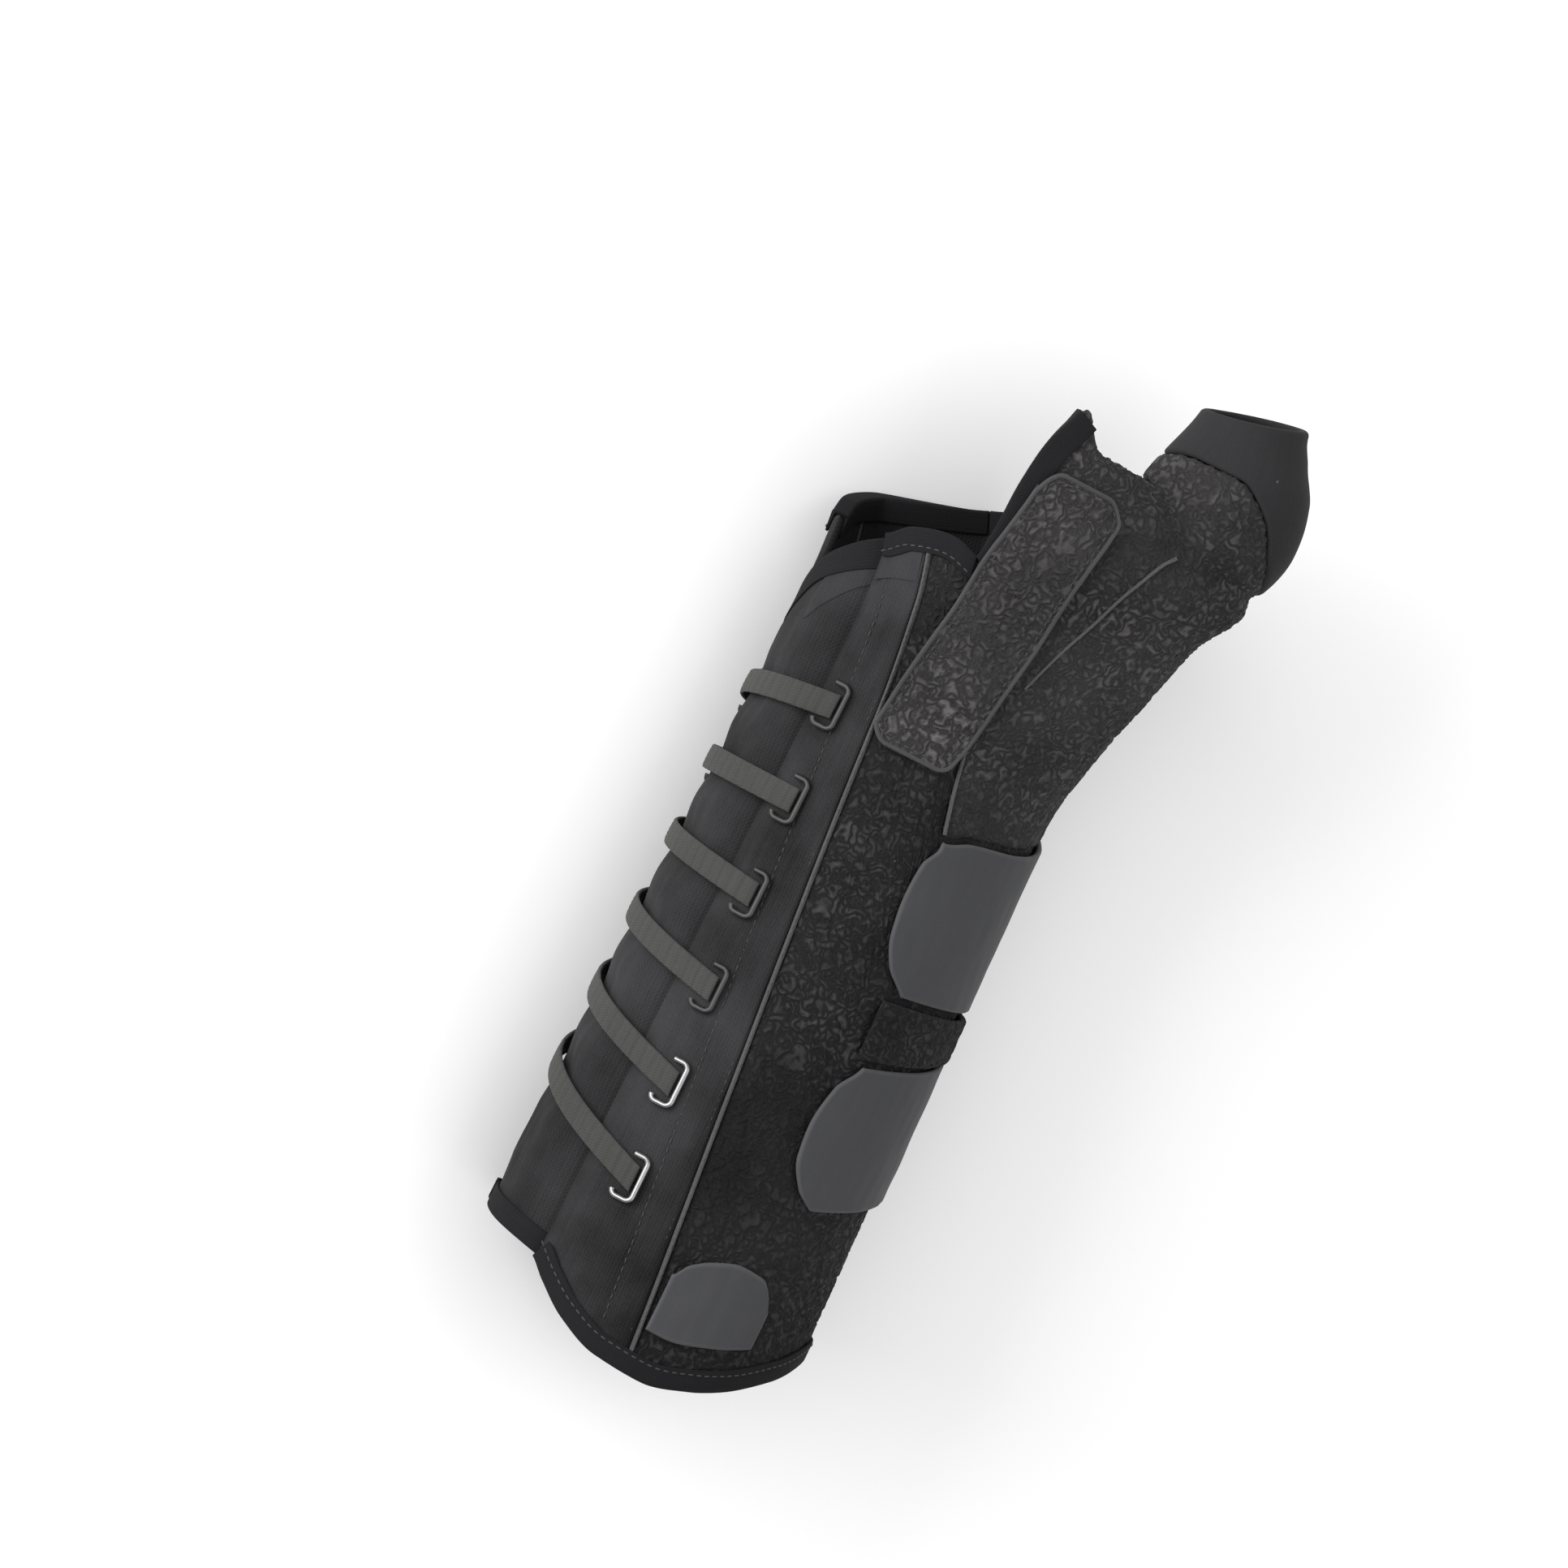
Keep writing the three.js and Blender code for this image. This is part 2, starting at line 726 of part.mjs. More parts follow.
function webStrap() {
  const end = ({ at, round, middle, half }) => (angle) => {
    const past = (Math.abs(angle - middle) / half - cornerStart) / (1 - cornerStart);
    return (at + round * THREE.MathUtils.clamp(past, 0, 1) ** 2) * splintLength;
  };
  return panel({
    left: angleCurve(webStrapLeft),
    right: angleCurve(webStrapRight),
    low: end(webStrapFoot),
    high: end(webStrapTop),
    inner: gauntletRise + layerGap,
    outer: gauntletRise + layerGap + webStrapThickness,
    columns: 7,
    rows: 11,
  });
}

// Lacing: a wire loop at each end of each flat lace
const topLoop = 0.674 * splintLength;
const topFarLoop = 0.652 * splintLength;
const loopPlace = (i) => topLoop - i * loopPitch;
const farLoopPlace = (i) => topFarLoop - i * farLoopPitch;

function wireLoop(angle, y, side) {
  const reach = (loopDepth - wireDiameter) / 2;
  const half = (loopLength - wireDiameter) / 2;
  const c = loopCorner;
  const outline = [
    [-reach, half],
    [reach - c, half],
    [reach - c * 0.3, half - c * 0.3],
    [reach, half - c],
    [reach, 0],
    [reach, c - half],
    [reach - c * 0.3, c * 0.3 - half],
    [reach - c, -half],
    [-reach, -half],
  ];
  const route = outline.map(([across, along]) =>
    cuff(angle + side * sweepOf(across, angle, y), y + along, fit + wireDiameter / 2));
  const section = new THREE.Shape();
  section.absarc(0, 0, wireDiameter / 2, 0, 2 * Math.PI);
  const geometry = new THREE.ExtrudeGeometry(section, {
    steps: 10,
    curveSegments: 3,
    bevelEnabled: false,
    extrudePath: new THREE.CatmullRomCurve3(route, false, 'centripetal'),
  });
  return geometry;
}

function lace(i) {
  const near = loopRow(loopPlace(i));
  const far = onFarSide(loopRow(farLoopPlace(i)));
  const middle = (angle) => {
    const share = (near - angle) / (near - far);
    return THREE.MathUtils.lerp(loopPlace(i), farLoopPlace(i), share);
  };
  const slope = (farLoopPlace(i) - loopPlace(i)) / radians(near - far) / (forearmDepth / 2);
  const half = (laceWidth / 2) * Math.hypot(1, slope);
  const end = sweepOf(loopDepth / 2 - 1.5 * wireDiameter, near, loopPlace(i));
  return panel({
    left: far - end,
    right: near + end,
    low: (angle) => middle(angle) - half,
    high: (angle) => middle(angle) + half,
    inner: fit,
    outer: fit + laceThickness,
    columns: 14,
    rows: 1,
  });
}

// Assembly
const splint = new THREE.Group();
function add(name, geometry, material) {
  const mesh = new THREE.Mesh(geometry, material);
  mesh.name = name;
  splint.add(mesh);
}

add('body_wrap', bodyWrap(), pile);
add('radial_lacing_panel', radialLacingPanel(), smooth);
add('ulnar_lacing_panel', ulnarLacingPanel(), smooth);
add('tongue', tongue(), lining);
add('thumb_gauntlet', gauntlet(), pile);
add('thumb_sleeve', thumbSleeve(), smooth);
add('radial_seam_welt', seamWelt(nearSeam), weltThread);
add('ulnar_seam_welt', seamWelt(farSeam), weltThread);
add('web_strap', webStrap(), pile);
add('upper_tab', upperTab(), tabCloth);
add('keeper_band', keeperBand(), pile);
add('middle_tab', middleTab(), tabCloth);
add('lower_tab', lowerTab(), tabCloth);
add('proximal_tape', edgeTape(edgePath(proximalEdge, nearFreeEdge + 1, farFreeEdge + turn - 1, 44), -1), tape);
add('distal_tape', edgeTape(edgePath(distalEdge, nearFreeEdge + 1, gauntletStart - 1, 12), 1), tape);

for (let i = 0; i < laceCount; i += 1) {
  const number = i + 1;
  const near = loopPlace(i);
  const far = farLoopPlace(i);
  add(`radial_loop_${number}`, wireLoop(loopRow(near), near, 1), steel);
  add(`ulnar_loop_${number}`, wireLoop(onFarSide(loopRow(far)), far, -1), steel);
  add(`lace_${number}`, lace(i), laceCloth);
}

// The splint stands on its lowest face, with the middle of its outline over the origin
const bounds = new THREE.Box3().setFromObject(splint);
const middle = bounds.getCenter(new THREE.Vector3());
splint.position.set(-middle.x, -middle.y, -bounds.min.z);

export default splint;
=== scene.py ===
"""Thumb spica splint: a laced cuff of padded cloth with a thumb gauntlet, dressed over its CAD frame."""

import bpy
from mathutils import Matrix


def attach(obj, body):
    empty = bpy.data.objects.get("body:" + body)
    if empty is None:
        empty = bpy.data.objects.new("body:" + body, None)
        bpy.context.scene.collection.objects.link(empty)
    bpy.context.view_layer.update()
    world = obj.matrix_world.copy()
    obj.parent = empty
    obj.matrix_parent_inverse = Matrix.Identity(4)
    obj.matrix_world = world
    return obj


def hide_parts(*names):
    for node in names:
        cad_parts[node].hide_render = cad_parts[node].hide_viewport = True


bl_info = {
    "name": "Thumb spica splint",
    "version": (1, 0, 0),
    "blender": (4, 5, 0),
    "location": "3D View > Sidebar > Splint",
    "description": "Builds the cloth, lacing and trim of a laced thumb splint over its CAD frame",
    "category": "Add Mesh",
}

import math

import bmesh
import bpy
import numpy as np
from mathutils import Matrix, Vector

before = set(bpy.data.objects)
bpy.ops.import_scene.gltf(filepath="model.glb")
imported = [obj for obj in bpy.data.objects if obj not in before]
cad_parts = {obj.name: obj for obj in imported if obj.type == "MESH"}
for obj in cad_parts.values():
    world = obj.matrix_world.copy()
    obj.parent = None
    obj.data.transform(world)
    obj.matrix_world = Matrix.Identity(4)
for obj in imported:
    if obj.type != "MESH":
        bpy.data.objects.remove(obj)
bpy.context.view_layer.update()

# The tables follow the part's own source: places are shares of the length, angles are degrees round the limb.
# 0 is the thumb side, 90 the palm side and -90 the back of the hand.
ORIGIN = (-5.72936, -140.72325, 0.0)
FLATTENING, RIM_LIFT, RIM_RUN, RIM_EASE = 2.5, 1.8, 21.0, 12
SECTIONS = (
    (0, 0, 1, 1), (0.264, -0.01, 0.973, 0.976), (0.444, -0.016, 0.953, 0.94), (0.58, -0.018, 0.937, 0.905),
    (0.68, -0.017, 0.932, 0.881), (0.8, -0.04, 0.896, 0.917), (0.888, -0.104, 0.8, 0.976), (1, -0.16, 0.7, 1),
    (1.06, -0.185, 0.655, 1), (1.2, -0.21, 0.62, 1),
)
THENAR = (
    (0.66, 0, 40, 34), (0.732, 0.14, 46, 34), (0.812, 0.35, 52, 33), (0.888, 0.68, 58, 32), (0.948, 1, 63, 31),
    (0.985, 0.8, 64, 30), (1.03, 0, 64, 30),
)
THUMB = (
    (0.86, 0.23, 0.694, 0.77), (0.948, 0.32, 0.702, 0.965), (0.968, 0.366, 0.708, 1), (1, 0.394, 0.714, 1),
    (1.032, 0.403, 0.72, 0.955), (1.064, 0.405, 0.726, 0.86), (1.1, 0.387, 0.732, 0.69), (1.128, 0.366, 0.738, 0.609),
)
PROXIMAL_RIM = (
    (-119, 0.086), (-90, 0.076), (-61, 0.062), (-53, 0.045), (-41, 0.021), (-26, 0.004), (-8, 0), (8, 0.011),
    (20, 0.024), (41, 0.053), (69, 0.084), (110, 0.09), (150, 0.086), (241, 0.086),
)
DISTAL_RIM = (
    (-61, 0.847), (-49, 0.864), (-33, 0.873), (-22, 0.866), (-18, 0.9), (-15, 0.95), (-11, 0.995), (-6, 1.025),
    (-1, 1.049), (3, 1.034), (8, 1.0155), (20, 1.015), (42, 1.015), (68, 1.008), (90, 0.992), (120, 0.96),
    (150, 0.925), (180, 0.9), (213, 0.876), (229, 0.864), (241, 0.847),
)
TONGUE_TOP = ((-128, 0.72), (-112, 0.748), (-94, 0.797), (-78, 0.822), (-61, 0.847), (-52, 0.86))
GAUNTLET_FOOT = (
    (-22, 0.854), (-10, 0.78), (0, 0.69), (8, 0.606), (20, 0.617), (45, 0.627), (68, 0.64), (100, 0.672),
    (130, 0.76), (148, 0.86), (156, 0.9),
)
SLEEVE_FOOT = (
    (-112, 1.048), (-60, 1.056), (-22, 1.056), (8, 1.032), (28, 0.998), (50, 0.974), (68, 0.962), (90, 0.966),
    (115, 0.99), (145, 1.03), (200, 1.048), (248, 1.048),
)
YOKE_FOOT = ((-84, 0.738), (-74, 0.768), (-63, 0.797), (-52, 0.812), (-41, 0.819), (-30, 0.82))
UPPER_TAB_END = ((0.444, 19), (0.47, 9), (0.5, 4), (0.54, 2.5), (0.575, 3.5), (0.597, 7.5))
STRAP_LEFT = (
    (0.66, -35.5), (0.714, -33.7), (0.783, -28.9), (0.855, -21.7), (0.909, -15.2), (0.952, -11), (0.99, -8.5),
)
STRAP_RIGHT = ((0.66, -3), (0.704, 0.3), (0.773, 4.4), (0.845, 9.5), (0.902, 14.9), (0.958, 20.5), (0.99, 23))
LOWER_TAB_TOP = ((-15, 0.106), (-11, 0.121), (-4, 0.134), (6, 0.143), (15, 0.141), (20, 0.128), (23, 0.112))
MIDDLE_TAB_END = ((0.212, 24), (0.235, 13), (0.264, 7), (0.296, 6), (0.34, 9), (0.372, 16))
BACK, NEAR_EDGE, FAR_EDGE, FAR_SEAM, TAB_RUN_END = -90, -61, 241, 214, 102
THUMB_TOP, THUMB_TILT, THUMB_ROOT, THUMB_START = 1.118, 3.3, 0.86, -112
SEAM_START, SEAM_TURN, ROW_START, ROW_TURN, SLANT_START, SLANT_SPAN = -15, -30.1, -36.6, -21.6, 10, 58
FIT, LAYER_GAP, TAPE_GAP = 0.3, 0.7, 0.6
LACE_COUNT, LOOP_PITCH, FAR_LOOP_PITCH = 6, 25.1, 19.0
# The last of these counts the upper loops that take the darker copy of the wire, which is painted shade.
TOP_LOOP, TOP_FAR_LOOP, SHADED_LOOPS = 0.674, 0.652, 4

# The pitch of the pile's loops, the width of the stay's pocket and the welts' distance from the rims in
# millimetres, half the tongue's swelling part in degrees, and the step of the gauntlet's even mesh in metres.
PILE_PITCH, STAY_WIDTH, WELT_INSET, TONGUE_REACH, VOXEL = 2.3, 9.4, 2.5, 29, 0.0008
THREAD_SIDES, TURN = 6, 6.28

# The photo's view: the place it looks at, the side it looks from, its upward direction, and a long lens.
VIEW_TARGET, VIEW_TOWARD, VIEW_UP = (-0.03277, 0.00524, 0.0395), (-0.3746, 0, 0.9272), (-0.4209, 0.891, -0.1701)
LENS, CAMERA_AWAY, WORLD_LIGHT = 300, 3.236, 0.52


def curve(rows, column=1):
    """A smooth curve through a table, from its first column to another one."""
    xs = np.array([row[0] for row in rows], float)
    ys = np.array([row[column] for row in rows], float)
    rise = np.diff(ys) / np.diff(xs)
    slope = np.zeros(len(xs))
    product = rise[:-1] * rise[1:]
    total = np.where(np.abs(rise[:-1] + rise[1:]) < 1e-12, 1, rise[:-1] + rise[1:])
    slope[1:-1] = np.where(product > 0, 2 * product / total, 0)

    def at(value):
        x = np.clip(value, xs[0], xs[-1])
        i = np.clip(np.searchsorted(xs, x, side="right") - 1, 0, len(xs) - 2)
        span = xs[i + 1] - xs[i]
        s = (x - xs[i]) / span
        step = ys[i + 1] - ys[i]
        bend = (1 - s) * (slope[i] * span - step) - s * (slope[i + 1] * span - step)
        return ys[i] + step * s + s * (1 - s) * bend

    return at


def mm(size):
    return size * 1000


def value_of(size, *place):
    return size(*place) if callable(size) else size


def bump(value, middle, spread):
    return np.exp(-(((value - middle) / spread) ** 2))


def soft_noise(u, v, seed):
    """Smooth unevenness from -1 to 1 over a surface, from a few waves in fixed directions."""
    waves = 15
    rng = np.random.RandomState(seed)
    total = np.zeros(np.broadcast(u, v).shape)
    for _ in range(waves):
        turn, phase = rng.uniform(0, 2 * np.pi, 2)
        pace = rng.uniform(0.6, 1.8)
        total += np.sin(2 * np.pi * pace * (u * np.cos(turn) + v * np.sin(turn)) + phase)
    return total / waves**0.5 / 1.5


def curls(points, size):
    """The looped pile as worm-like ridges from 0 to 1 at points in millimetres."""
    p = points / size
    rng = np.random.RandomState(7)
    warp = np.zeros_like(p)
    for axis in range(3):
        for _ in range(5):
            k = rng.normal(size=3) * 2.2
            warp[..., axis] += np.sin(p @ k + rng.uniform(0, TURN)) * 0.22
    q = p + warp
    total = np.zeros(p.shape[:-1])
    waves = 14
    for _ in range(waves):
        k = rng.normal(size=3)
        k *= rng.uniform(2.4, 4.0) / np.linalg.norm(k)
        total += np.sin(q @ k + rng.uniform(0, TURN))
    return np.exp(-((total / waves**0.5) * 2.2) ** 2)


class Form:
    """The splint's surfaces, in millimetres along and round the limb."""

    def __init__(self, sizes):
        self.length, self.wall = mm(sizes.length), mm(sizes.wall)
        self.depth, self.width = mm(sizes.forearm_depth), mm(sizes.forearm_width)
        self.bulge, self.thenar_height = mm(sizes.thumb_bulge), mm(sizes.thenar_height)
        self.shift_share, self.depth_share, self.width_share = (curve(SECTIONS, i) for i in (1, 2, 3))
        self.thenar_share, self.thenar_angle, self.thenar_spread = (curve(THENAR, i) for i in (1, 2, 3))
        self.thumb_x, self.thumb_z, self.thumb_share = (curve(THUMB, i) for i in (1, 2, 3))
        self.proximal, self.distal = self.edge(PROXIMAL_RIM), self.edge(DISTAL_RIM)
        self.tongue_top, self.gauntlet_foot = self.edge(TONGUE_TOP), self.edge(GAUNTLET_FOOT)
        self.sleeve_foot = self.edge(SLEEVE_FOOT)

    def edge(self, rows):
        share = curve(rows)
        return lambda angle: share(angle) * self.length

    def tab_end(self, rows):
        angle = curve(rows)
        return lambda y: angle(y / self.length)

    def radius(self, angle, y):
        at = y / self.length
        a = np.radians(angle)
        oval = 1 / np.hypot(
            np.sin(a) / (self.depth_share(at) * self.depth / 2), np.cos(a) / (self.width_share(at) * self.width / 2)
        )
        from_crest = (angle - self.thenar_angle(at) + 540) % 360 - 180
        swelling = np.exp(-((from_crest / self.thenar_spread(at)) ** 2))
        return oval + self.thenar_height * self.thenar_share(at) * swelling

    def lift(self, y):
        ends = np.maximum(self.proximal(180) + RIM_RUN - y, y - self.distal(180) + RIM_RUN)
        near = np.clip(ends / RIM_EASE, 0, 1)
        return RIM_LIFT * near * near

    def cuff(self, angle, y, height):
        """A point of the cuff from its angle, its place along the limb and its height over the outer face."""
        angle, y, height = np.broadcast_arrays(*(np.asarray(v, float) for v in (angle, y, height)))
        at = y / self.length

        def flat(value):
            r = self.radius(value, y)
            return r * np.sin(np.radians(value)), r * np.cos(np.radians(value))

        (ax, az), (bx, bz), (px, pz) = flat(angle + 0.5), flat(angle - 0.5), flat(angle)
        run = np.hypot(ax - bx, az - bz)
        dx, dz = (ax - bx) / run, (az - bz) / run
        x = self.shift_share(at) * self.depth + px - height * dz
        z = self.width_share(at) * self.width / 2 - FLATTENING + pz + height * dx
        return np.stack([x, y, np.maximum(z, self.lift(y) - height)], -1)

    def thumb(self, angle, y, height):
        """A point of the thumb tube."""
        angle, y, height = np.broadcast_arrays(*(np.asarray(v, float) for v in (angle, y, height)))
        at = y / self.length
        r = self.thumb_share(at) * self.bulge / 2 + height
        a = np.radians(angle)
        return np.stack(
            [self.thumb_x(at) * self.depth + r * np.sin(a), y, self.thumb_z(at) * self.width + r * np.cos(a)], -1
        )

    def sweep_of(self, distance, angle, y):
        return np.degrees(distance / self.radius(angle, y))

    def near_seam(self, y):
        return SEAM_START + SEAM_TURN * y / self.length

    def far_seam(self, y):
        return FAR_SEAM + 0 * y

    def loop_row(self, y):
        return ROW_START + ROW_TURN * y / self.length

    def far_loop_row(self, y):
        return 2 * BACK - self.loop_row(y)

    def beside(self, seam, distance):
        """A line along a seam, at a distance from it toward the palm side."""
        return lambda y: seam(y) + self.sweep_of(distance, seam(y), y)

    def slant(self, foot, rise):
        return lambda angle: (foot + rise * (angle - SLANT_START) / SLANT_SPAN) * self.length

    def round_foot(self, angle):
        """The sleeve's lower edge at any angle, its table running once round from THUMB_START."""
        return self.sleeve_foot((angle - THUMB_START) % 360 + THUMB_START)

    def thumb_rim(self, angle):
        return THUMB_TOP * self.length + THUMB_TILT * np.sin(np.radians(angle))


def to_frame(points):
    """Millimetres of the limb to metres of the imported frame."""
    return (np.asarray(points) + np.array(ORIGIN)) / 1000


def new_piece(name, points, faces, uv=None, edge=None, face_slots=None):
    """A mesh object from points in millimetres, its doubles merged and its faces turned outwards."""
    mesh = bpy.data.meshes.new(name)
    mesh.from_pydata(to_frame(points).tolist(), [], [list(map(int, face)) for face in faces])
    if uv is not None:
        layer = mesh.uv_layers.new(name="cloth")
        loops = np.zeros(len(mesh.loops), int)
        mesh.loops.foreach_get("vertex_index", loops)
        layer.data.foreach_set("uv", (np.asarray(uv)[loops] / 1000).ravel())
    if edge is not None:
        mesh.attributes.new("edge", "FLOAT", "POINT").data.foreach_set("value", np.asarray(edge, float).ravel())
    if face_slots is not None:
        mesh.polygons.foreach_set("material_index", np.asarray(face_slots, int))
    work = bmesh.new()
    work.from_mesh(mesh)
    bmesh.ops.remove_doubles(work, verts=work.verts, dist=2e-6)
    bmesh.ops.recalc_face_normals(work, faces=work.faces)
    if work.calc_volume(signed=True) < 0:
        bmesh.ops.reverse_faces(work, faces=work.faces)
    work.to_mesh(mesh)
    work.free()
    mesh.polygons.foreach_set("use_smooth", [True] * len(mesh.polygons))
    piece = bpy.data.objects.new(name, mesh)
    bpy.context.collection.objects.link(piece)
    return piece


def grid_faces(columns, rows, start=0):
    faces = []
    for i in range(columns):
        for j in range(rows):
            a = start + i * (rows + 1) + j
            b = a + rows + 1
            faces.append((a, b, b + 1, a + 1))
    return faces


def side_lines(count, edge, crowd=1.0):
    """Shares across a panel, close together over its two rounded edges."""
    steps = edge * (1 - np.cos(np.linspace(0, np.pi / 2, 5)))
    between = (np.linspace(0, 1, count + 1) ** crowd)[1:-1] * (1 - 2 * edge) + edge
    return np.concatenate([steps, between, 1 - steps[::-1]])


def panel_places(form, left, right, low, high, u, v):
    """The angle and place of each share across and along a panel between its four edges."""
    y, angle = np.full(u.shape, form.length / 2), np.zeros(u.shape)
    for _ in range(14):
        angle = value_of(left, y) * (1 - u) + value_of(right, y) * u
        y = value_of(low, angle) * (1 - v) + value_of(high, angle) * v
    return angle, y


def panel_border(form, left, right, low, high, inset_u, inset_v, count):
    """A closed path just inside the edges of a panel, with its corners rounded off."""
    t = np.arange(count * 4) / count
    side, share = (t // 1).astype(int) % 4, t % 1
    u = np.choose(side, [share, np.ones_like(t), 1 - share, np.zeros_like(t)])
    v = np.choose(side, [np.zeros_like(t), share, np.ones_like(t), 1 - share])
    for _ in range(4):
        u = (np.roll(u, 1) + u * 2 + np.roll(u, -1)) / 4
        v = (np.roll(v, 1) + v * 2 + np.roll(v, -1)) / 4
    u, v = inset_u + u * (1 - 2 * inset_u), inset_v + v * (1 - 2 * inset_v)
    return np.stack(panel_places(form, left, right, low, high, u, v), -1)


def cloth_panel(form, name, left, right, low, high, bottom, top, columns, rows, crowd=1.0, relief=None, place=None):
    """A piece of padded cloth on the cuff with rounded edges, its underside in the second material slot."""
    place = place or form.cuff

    def spread(u, v):
        u, v = np.meshgrid(u, v, indexing="ij")
        return u, v, *panel_places(form, left, right, low, high, u, v)

    u, v, angle, y = spread(np.linspace(0, 1, 9), np.linspace(0, 1, 9))
    run = place(angle, y, 0.0)
    across = np.linalg.norm(np.diff(run, axis=0), axis=2).sum(0).mean()
    along = np.linalg.norm(np.diff(run, axis=1), axis=2).sum(1).mean()
    thick = np.mean(value_of(top, angle, y)) - np.mean(value_of(bottom, angle, y))
    radius = min(thick / 2, 0.45 * across, 0.45 * along)
    u, v, angle, y = spread(side_lines(columns, radius / across, crowd), side_lines(rows, radius / along))
    from_side = np.minimum(np.minimum(u, 1 - u) * across, np.minimum(v, 1 - v) * along)
    turn_u = np.clip(1 - np.minimum(u, 1 - u) * across / radius, 0, 1)
    turn_v = np.clip(1 - np.minimum(v, 1 - v) * along / radius, 0, 1)
    swell = np.sqrt((1 - turn_u**2) * (1 - turn_v**2))
    upper, lower = value_of(top, angle, y) + 0 * y, value_of(bottom, angle, y) + 0 * y
    middle, half = (upper + lower) / 2, (upper - lower) / 2
    outer_height = middle + half * swell
    if relief is not None:
        outer_height = outer_height + relief(angle, y) * swell
    outer, inner = place(angle, y, outer_height), place(angle, y, middle - half * swell)
    nu, nv = u.shape
    faces = grid_faces(nu - 1, nv - 1)
    under = [face[::-1] for face in grid_faces(nu - 1, nv - 1, nu * nv)]
    flat = np.stack([np.radians(angle) * form.depth / 2, y], -1).reshape(-1, 2)
    return new_piece(
        name,
        np.concatenate([outer.reshape(-1, 3), inner.reshape(-1, 3)]),
        faces + under,
        np.concatenate([flat, flat]),
        np.concatenate([from_side.ravel(), from_side.ravel()]) / 1000,
        [0] * len(faces) + [1] * len(under),
    )


def ring_faces(count, ring, start=0, closed=False):
    """The faces between rings of points in a row, with two ends or closed to a loop."""
    faces = []
    for i in range(count if closed else count - 1):
        a, b = start + i * ring, start + ((i + 1) % count) * ring
        faces += [(a + k, a + (k + 1) % ring, b + (k + 1) % ring, b + k) for k in range(ring)]
    if not closed:
        last = start + (count - 1) * ring
        faces += [tuple(range(start, start + ring))[::-1], tuple(range(last, last + ring))]
    return faces


def swept(name, stations, closed=False, uv=None):
    """A closed solid of stations that each repeat one closed outline."""
    stations = np.asarray(stations)
    count, ring = stations.shape[:2]
    faces = ring_faces(count, ring, closed=closed)
    if uv is None:
        along = np.concatenate([[0], np.cumsum(np.linalg.norm(np.diff(stations[:, 0], axis=0), axis=1))])
        across = np.concatenate([[0], np.cumsum(np.linalg.norm(np.diff(stations[0], axis=0), axis=1))])
        uv = np.stack(np.meshgrid(along, across, indexing="ij"), -1).reshape(-1, 2)[:, ::-1]
    return new_piece(name, stations.reshape(-1, 3), faces, uv)


def rounded_section(corners, radius, steps):
    """A closed outline with its corners rounded, each in a few steps."""
    corners = [np.array(c, float) for c in corners]
    outline = []
    for i, corner in enumerate(corners):
        before, after = corners[i - 1] - corner, corners[(i + 1) % len(corners)] - corner
        reach = min(radius, np.linalg.norm(before) * 0.45, np.linalg.norm(after) * 0.45)
        start = corner + before / np.linalg.norm(before) * reach
        end = corner + after / np.linalg.norm(after) * reach
        for t in np.linspace(0, 1, steps):
            outline.append((1 - t) ** 2 * start + 2 * t * (1 - t) * corner + t * t * end)
    return np.array(outline)


def along_path(form, path, outline, side=1.0, place=None, closed=False):
    """Stations of an outline (out over the edge, height) along a path of angles and places."""
    path = np.asarray(path, float)
    step = np.roll(path, -1, 0) - np.roll(path, 1, 0) if closed else np.gradient(path, axis=0)
    place = place or form.cuff
    r = form.radius(path[:, 0], path[:, 1])
    run = np.stack([np.radians(step[:, 0]) * r, step[:, 1]], -1)
    run /= np.linalg.norm(run, axis=1, keepdims=True)
    out = side * outline[None, :, 0]
    angle = path[:, :1] - np.degrees(out * run[:, 1:] / r[:, None])
    return place(angle, path[:, 1:] + out * run[:, :1], np.broadcast_to(outline[None, :, 1], angle.shape))


def tape_outline(reach, low, high, under):
    """The outline of a tape folded over an edge, from the outer face round to the face at height under."""
    return rounded_section(
        [(-reach, low), (-reach, high), (high, high), (high, under - high), (-reach, under - high),
         (-reach, under - low), (low, under - low), (low, low)], 0.9, 5,
    )


def edge_path(edge, start, end, count):
    angle = np.linspace(start, end, count + 1)
    return np.stack([angle, edge(angle)], -1)


def smooth_path(form, rows, count):
    """A smooth path through a few angles and shares of the length."""
    rows = np.array(rows, float) * [1, form.length]
    run = np.concatenate([[0], np.cumsum(np.hypot(np.diff(rows[:, 0]) * 0.75, np.diff(rows[:, 1])))])
    stops = np.linspace(0, run[-1], count + 1)
    return np.stack([curve(list(zip(run, rows[:, i])))(stops) for i in (0, 1)], -1)


def piping(form, name, path, radius, height, closed=False):
    """A round cord of cloth sewn along a path."""
    turn = np.arange(10) * math.pi / 5
    outline = np.stack([radius * np.cos(turn), height + radius * np.sin(turn)], -1)
    return swept(name, along_path(form, path, outline, closed=closed), closed)


def even_path(form, path, pitch):
    """A path of angles and places cut into equal steps in millimetres."""
    path = np.asarray(path, float)
    points = form.cuff(path[:, 0], path[:, 1], 0.0)
    run = np.concatenate([[0], np.cumsum(np.linalg.norm(np.diff(points, axis=0), axis=1))])
    stops = np.arange(pitch / 2, run[-1], pitch)
    return np.stack([np.interp(stops, run, path[:, i]) for i in (0, 1)], -1)


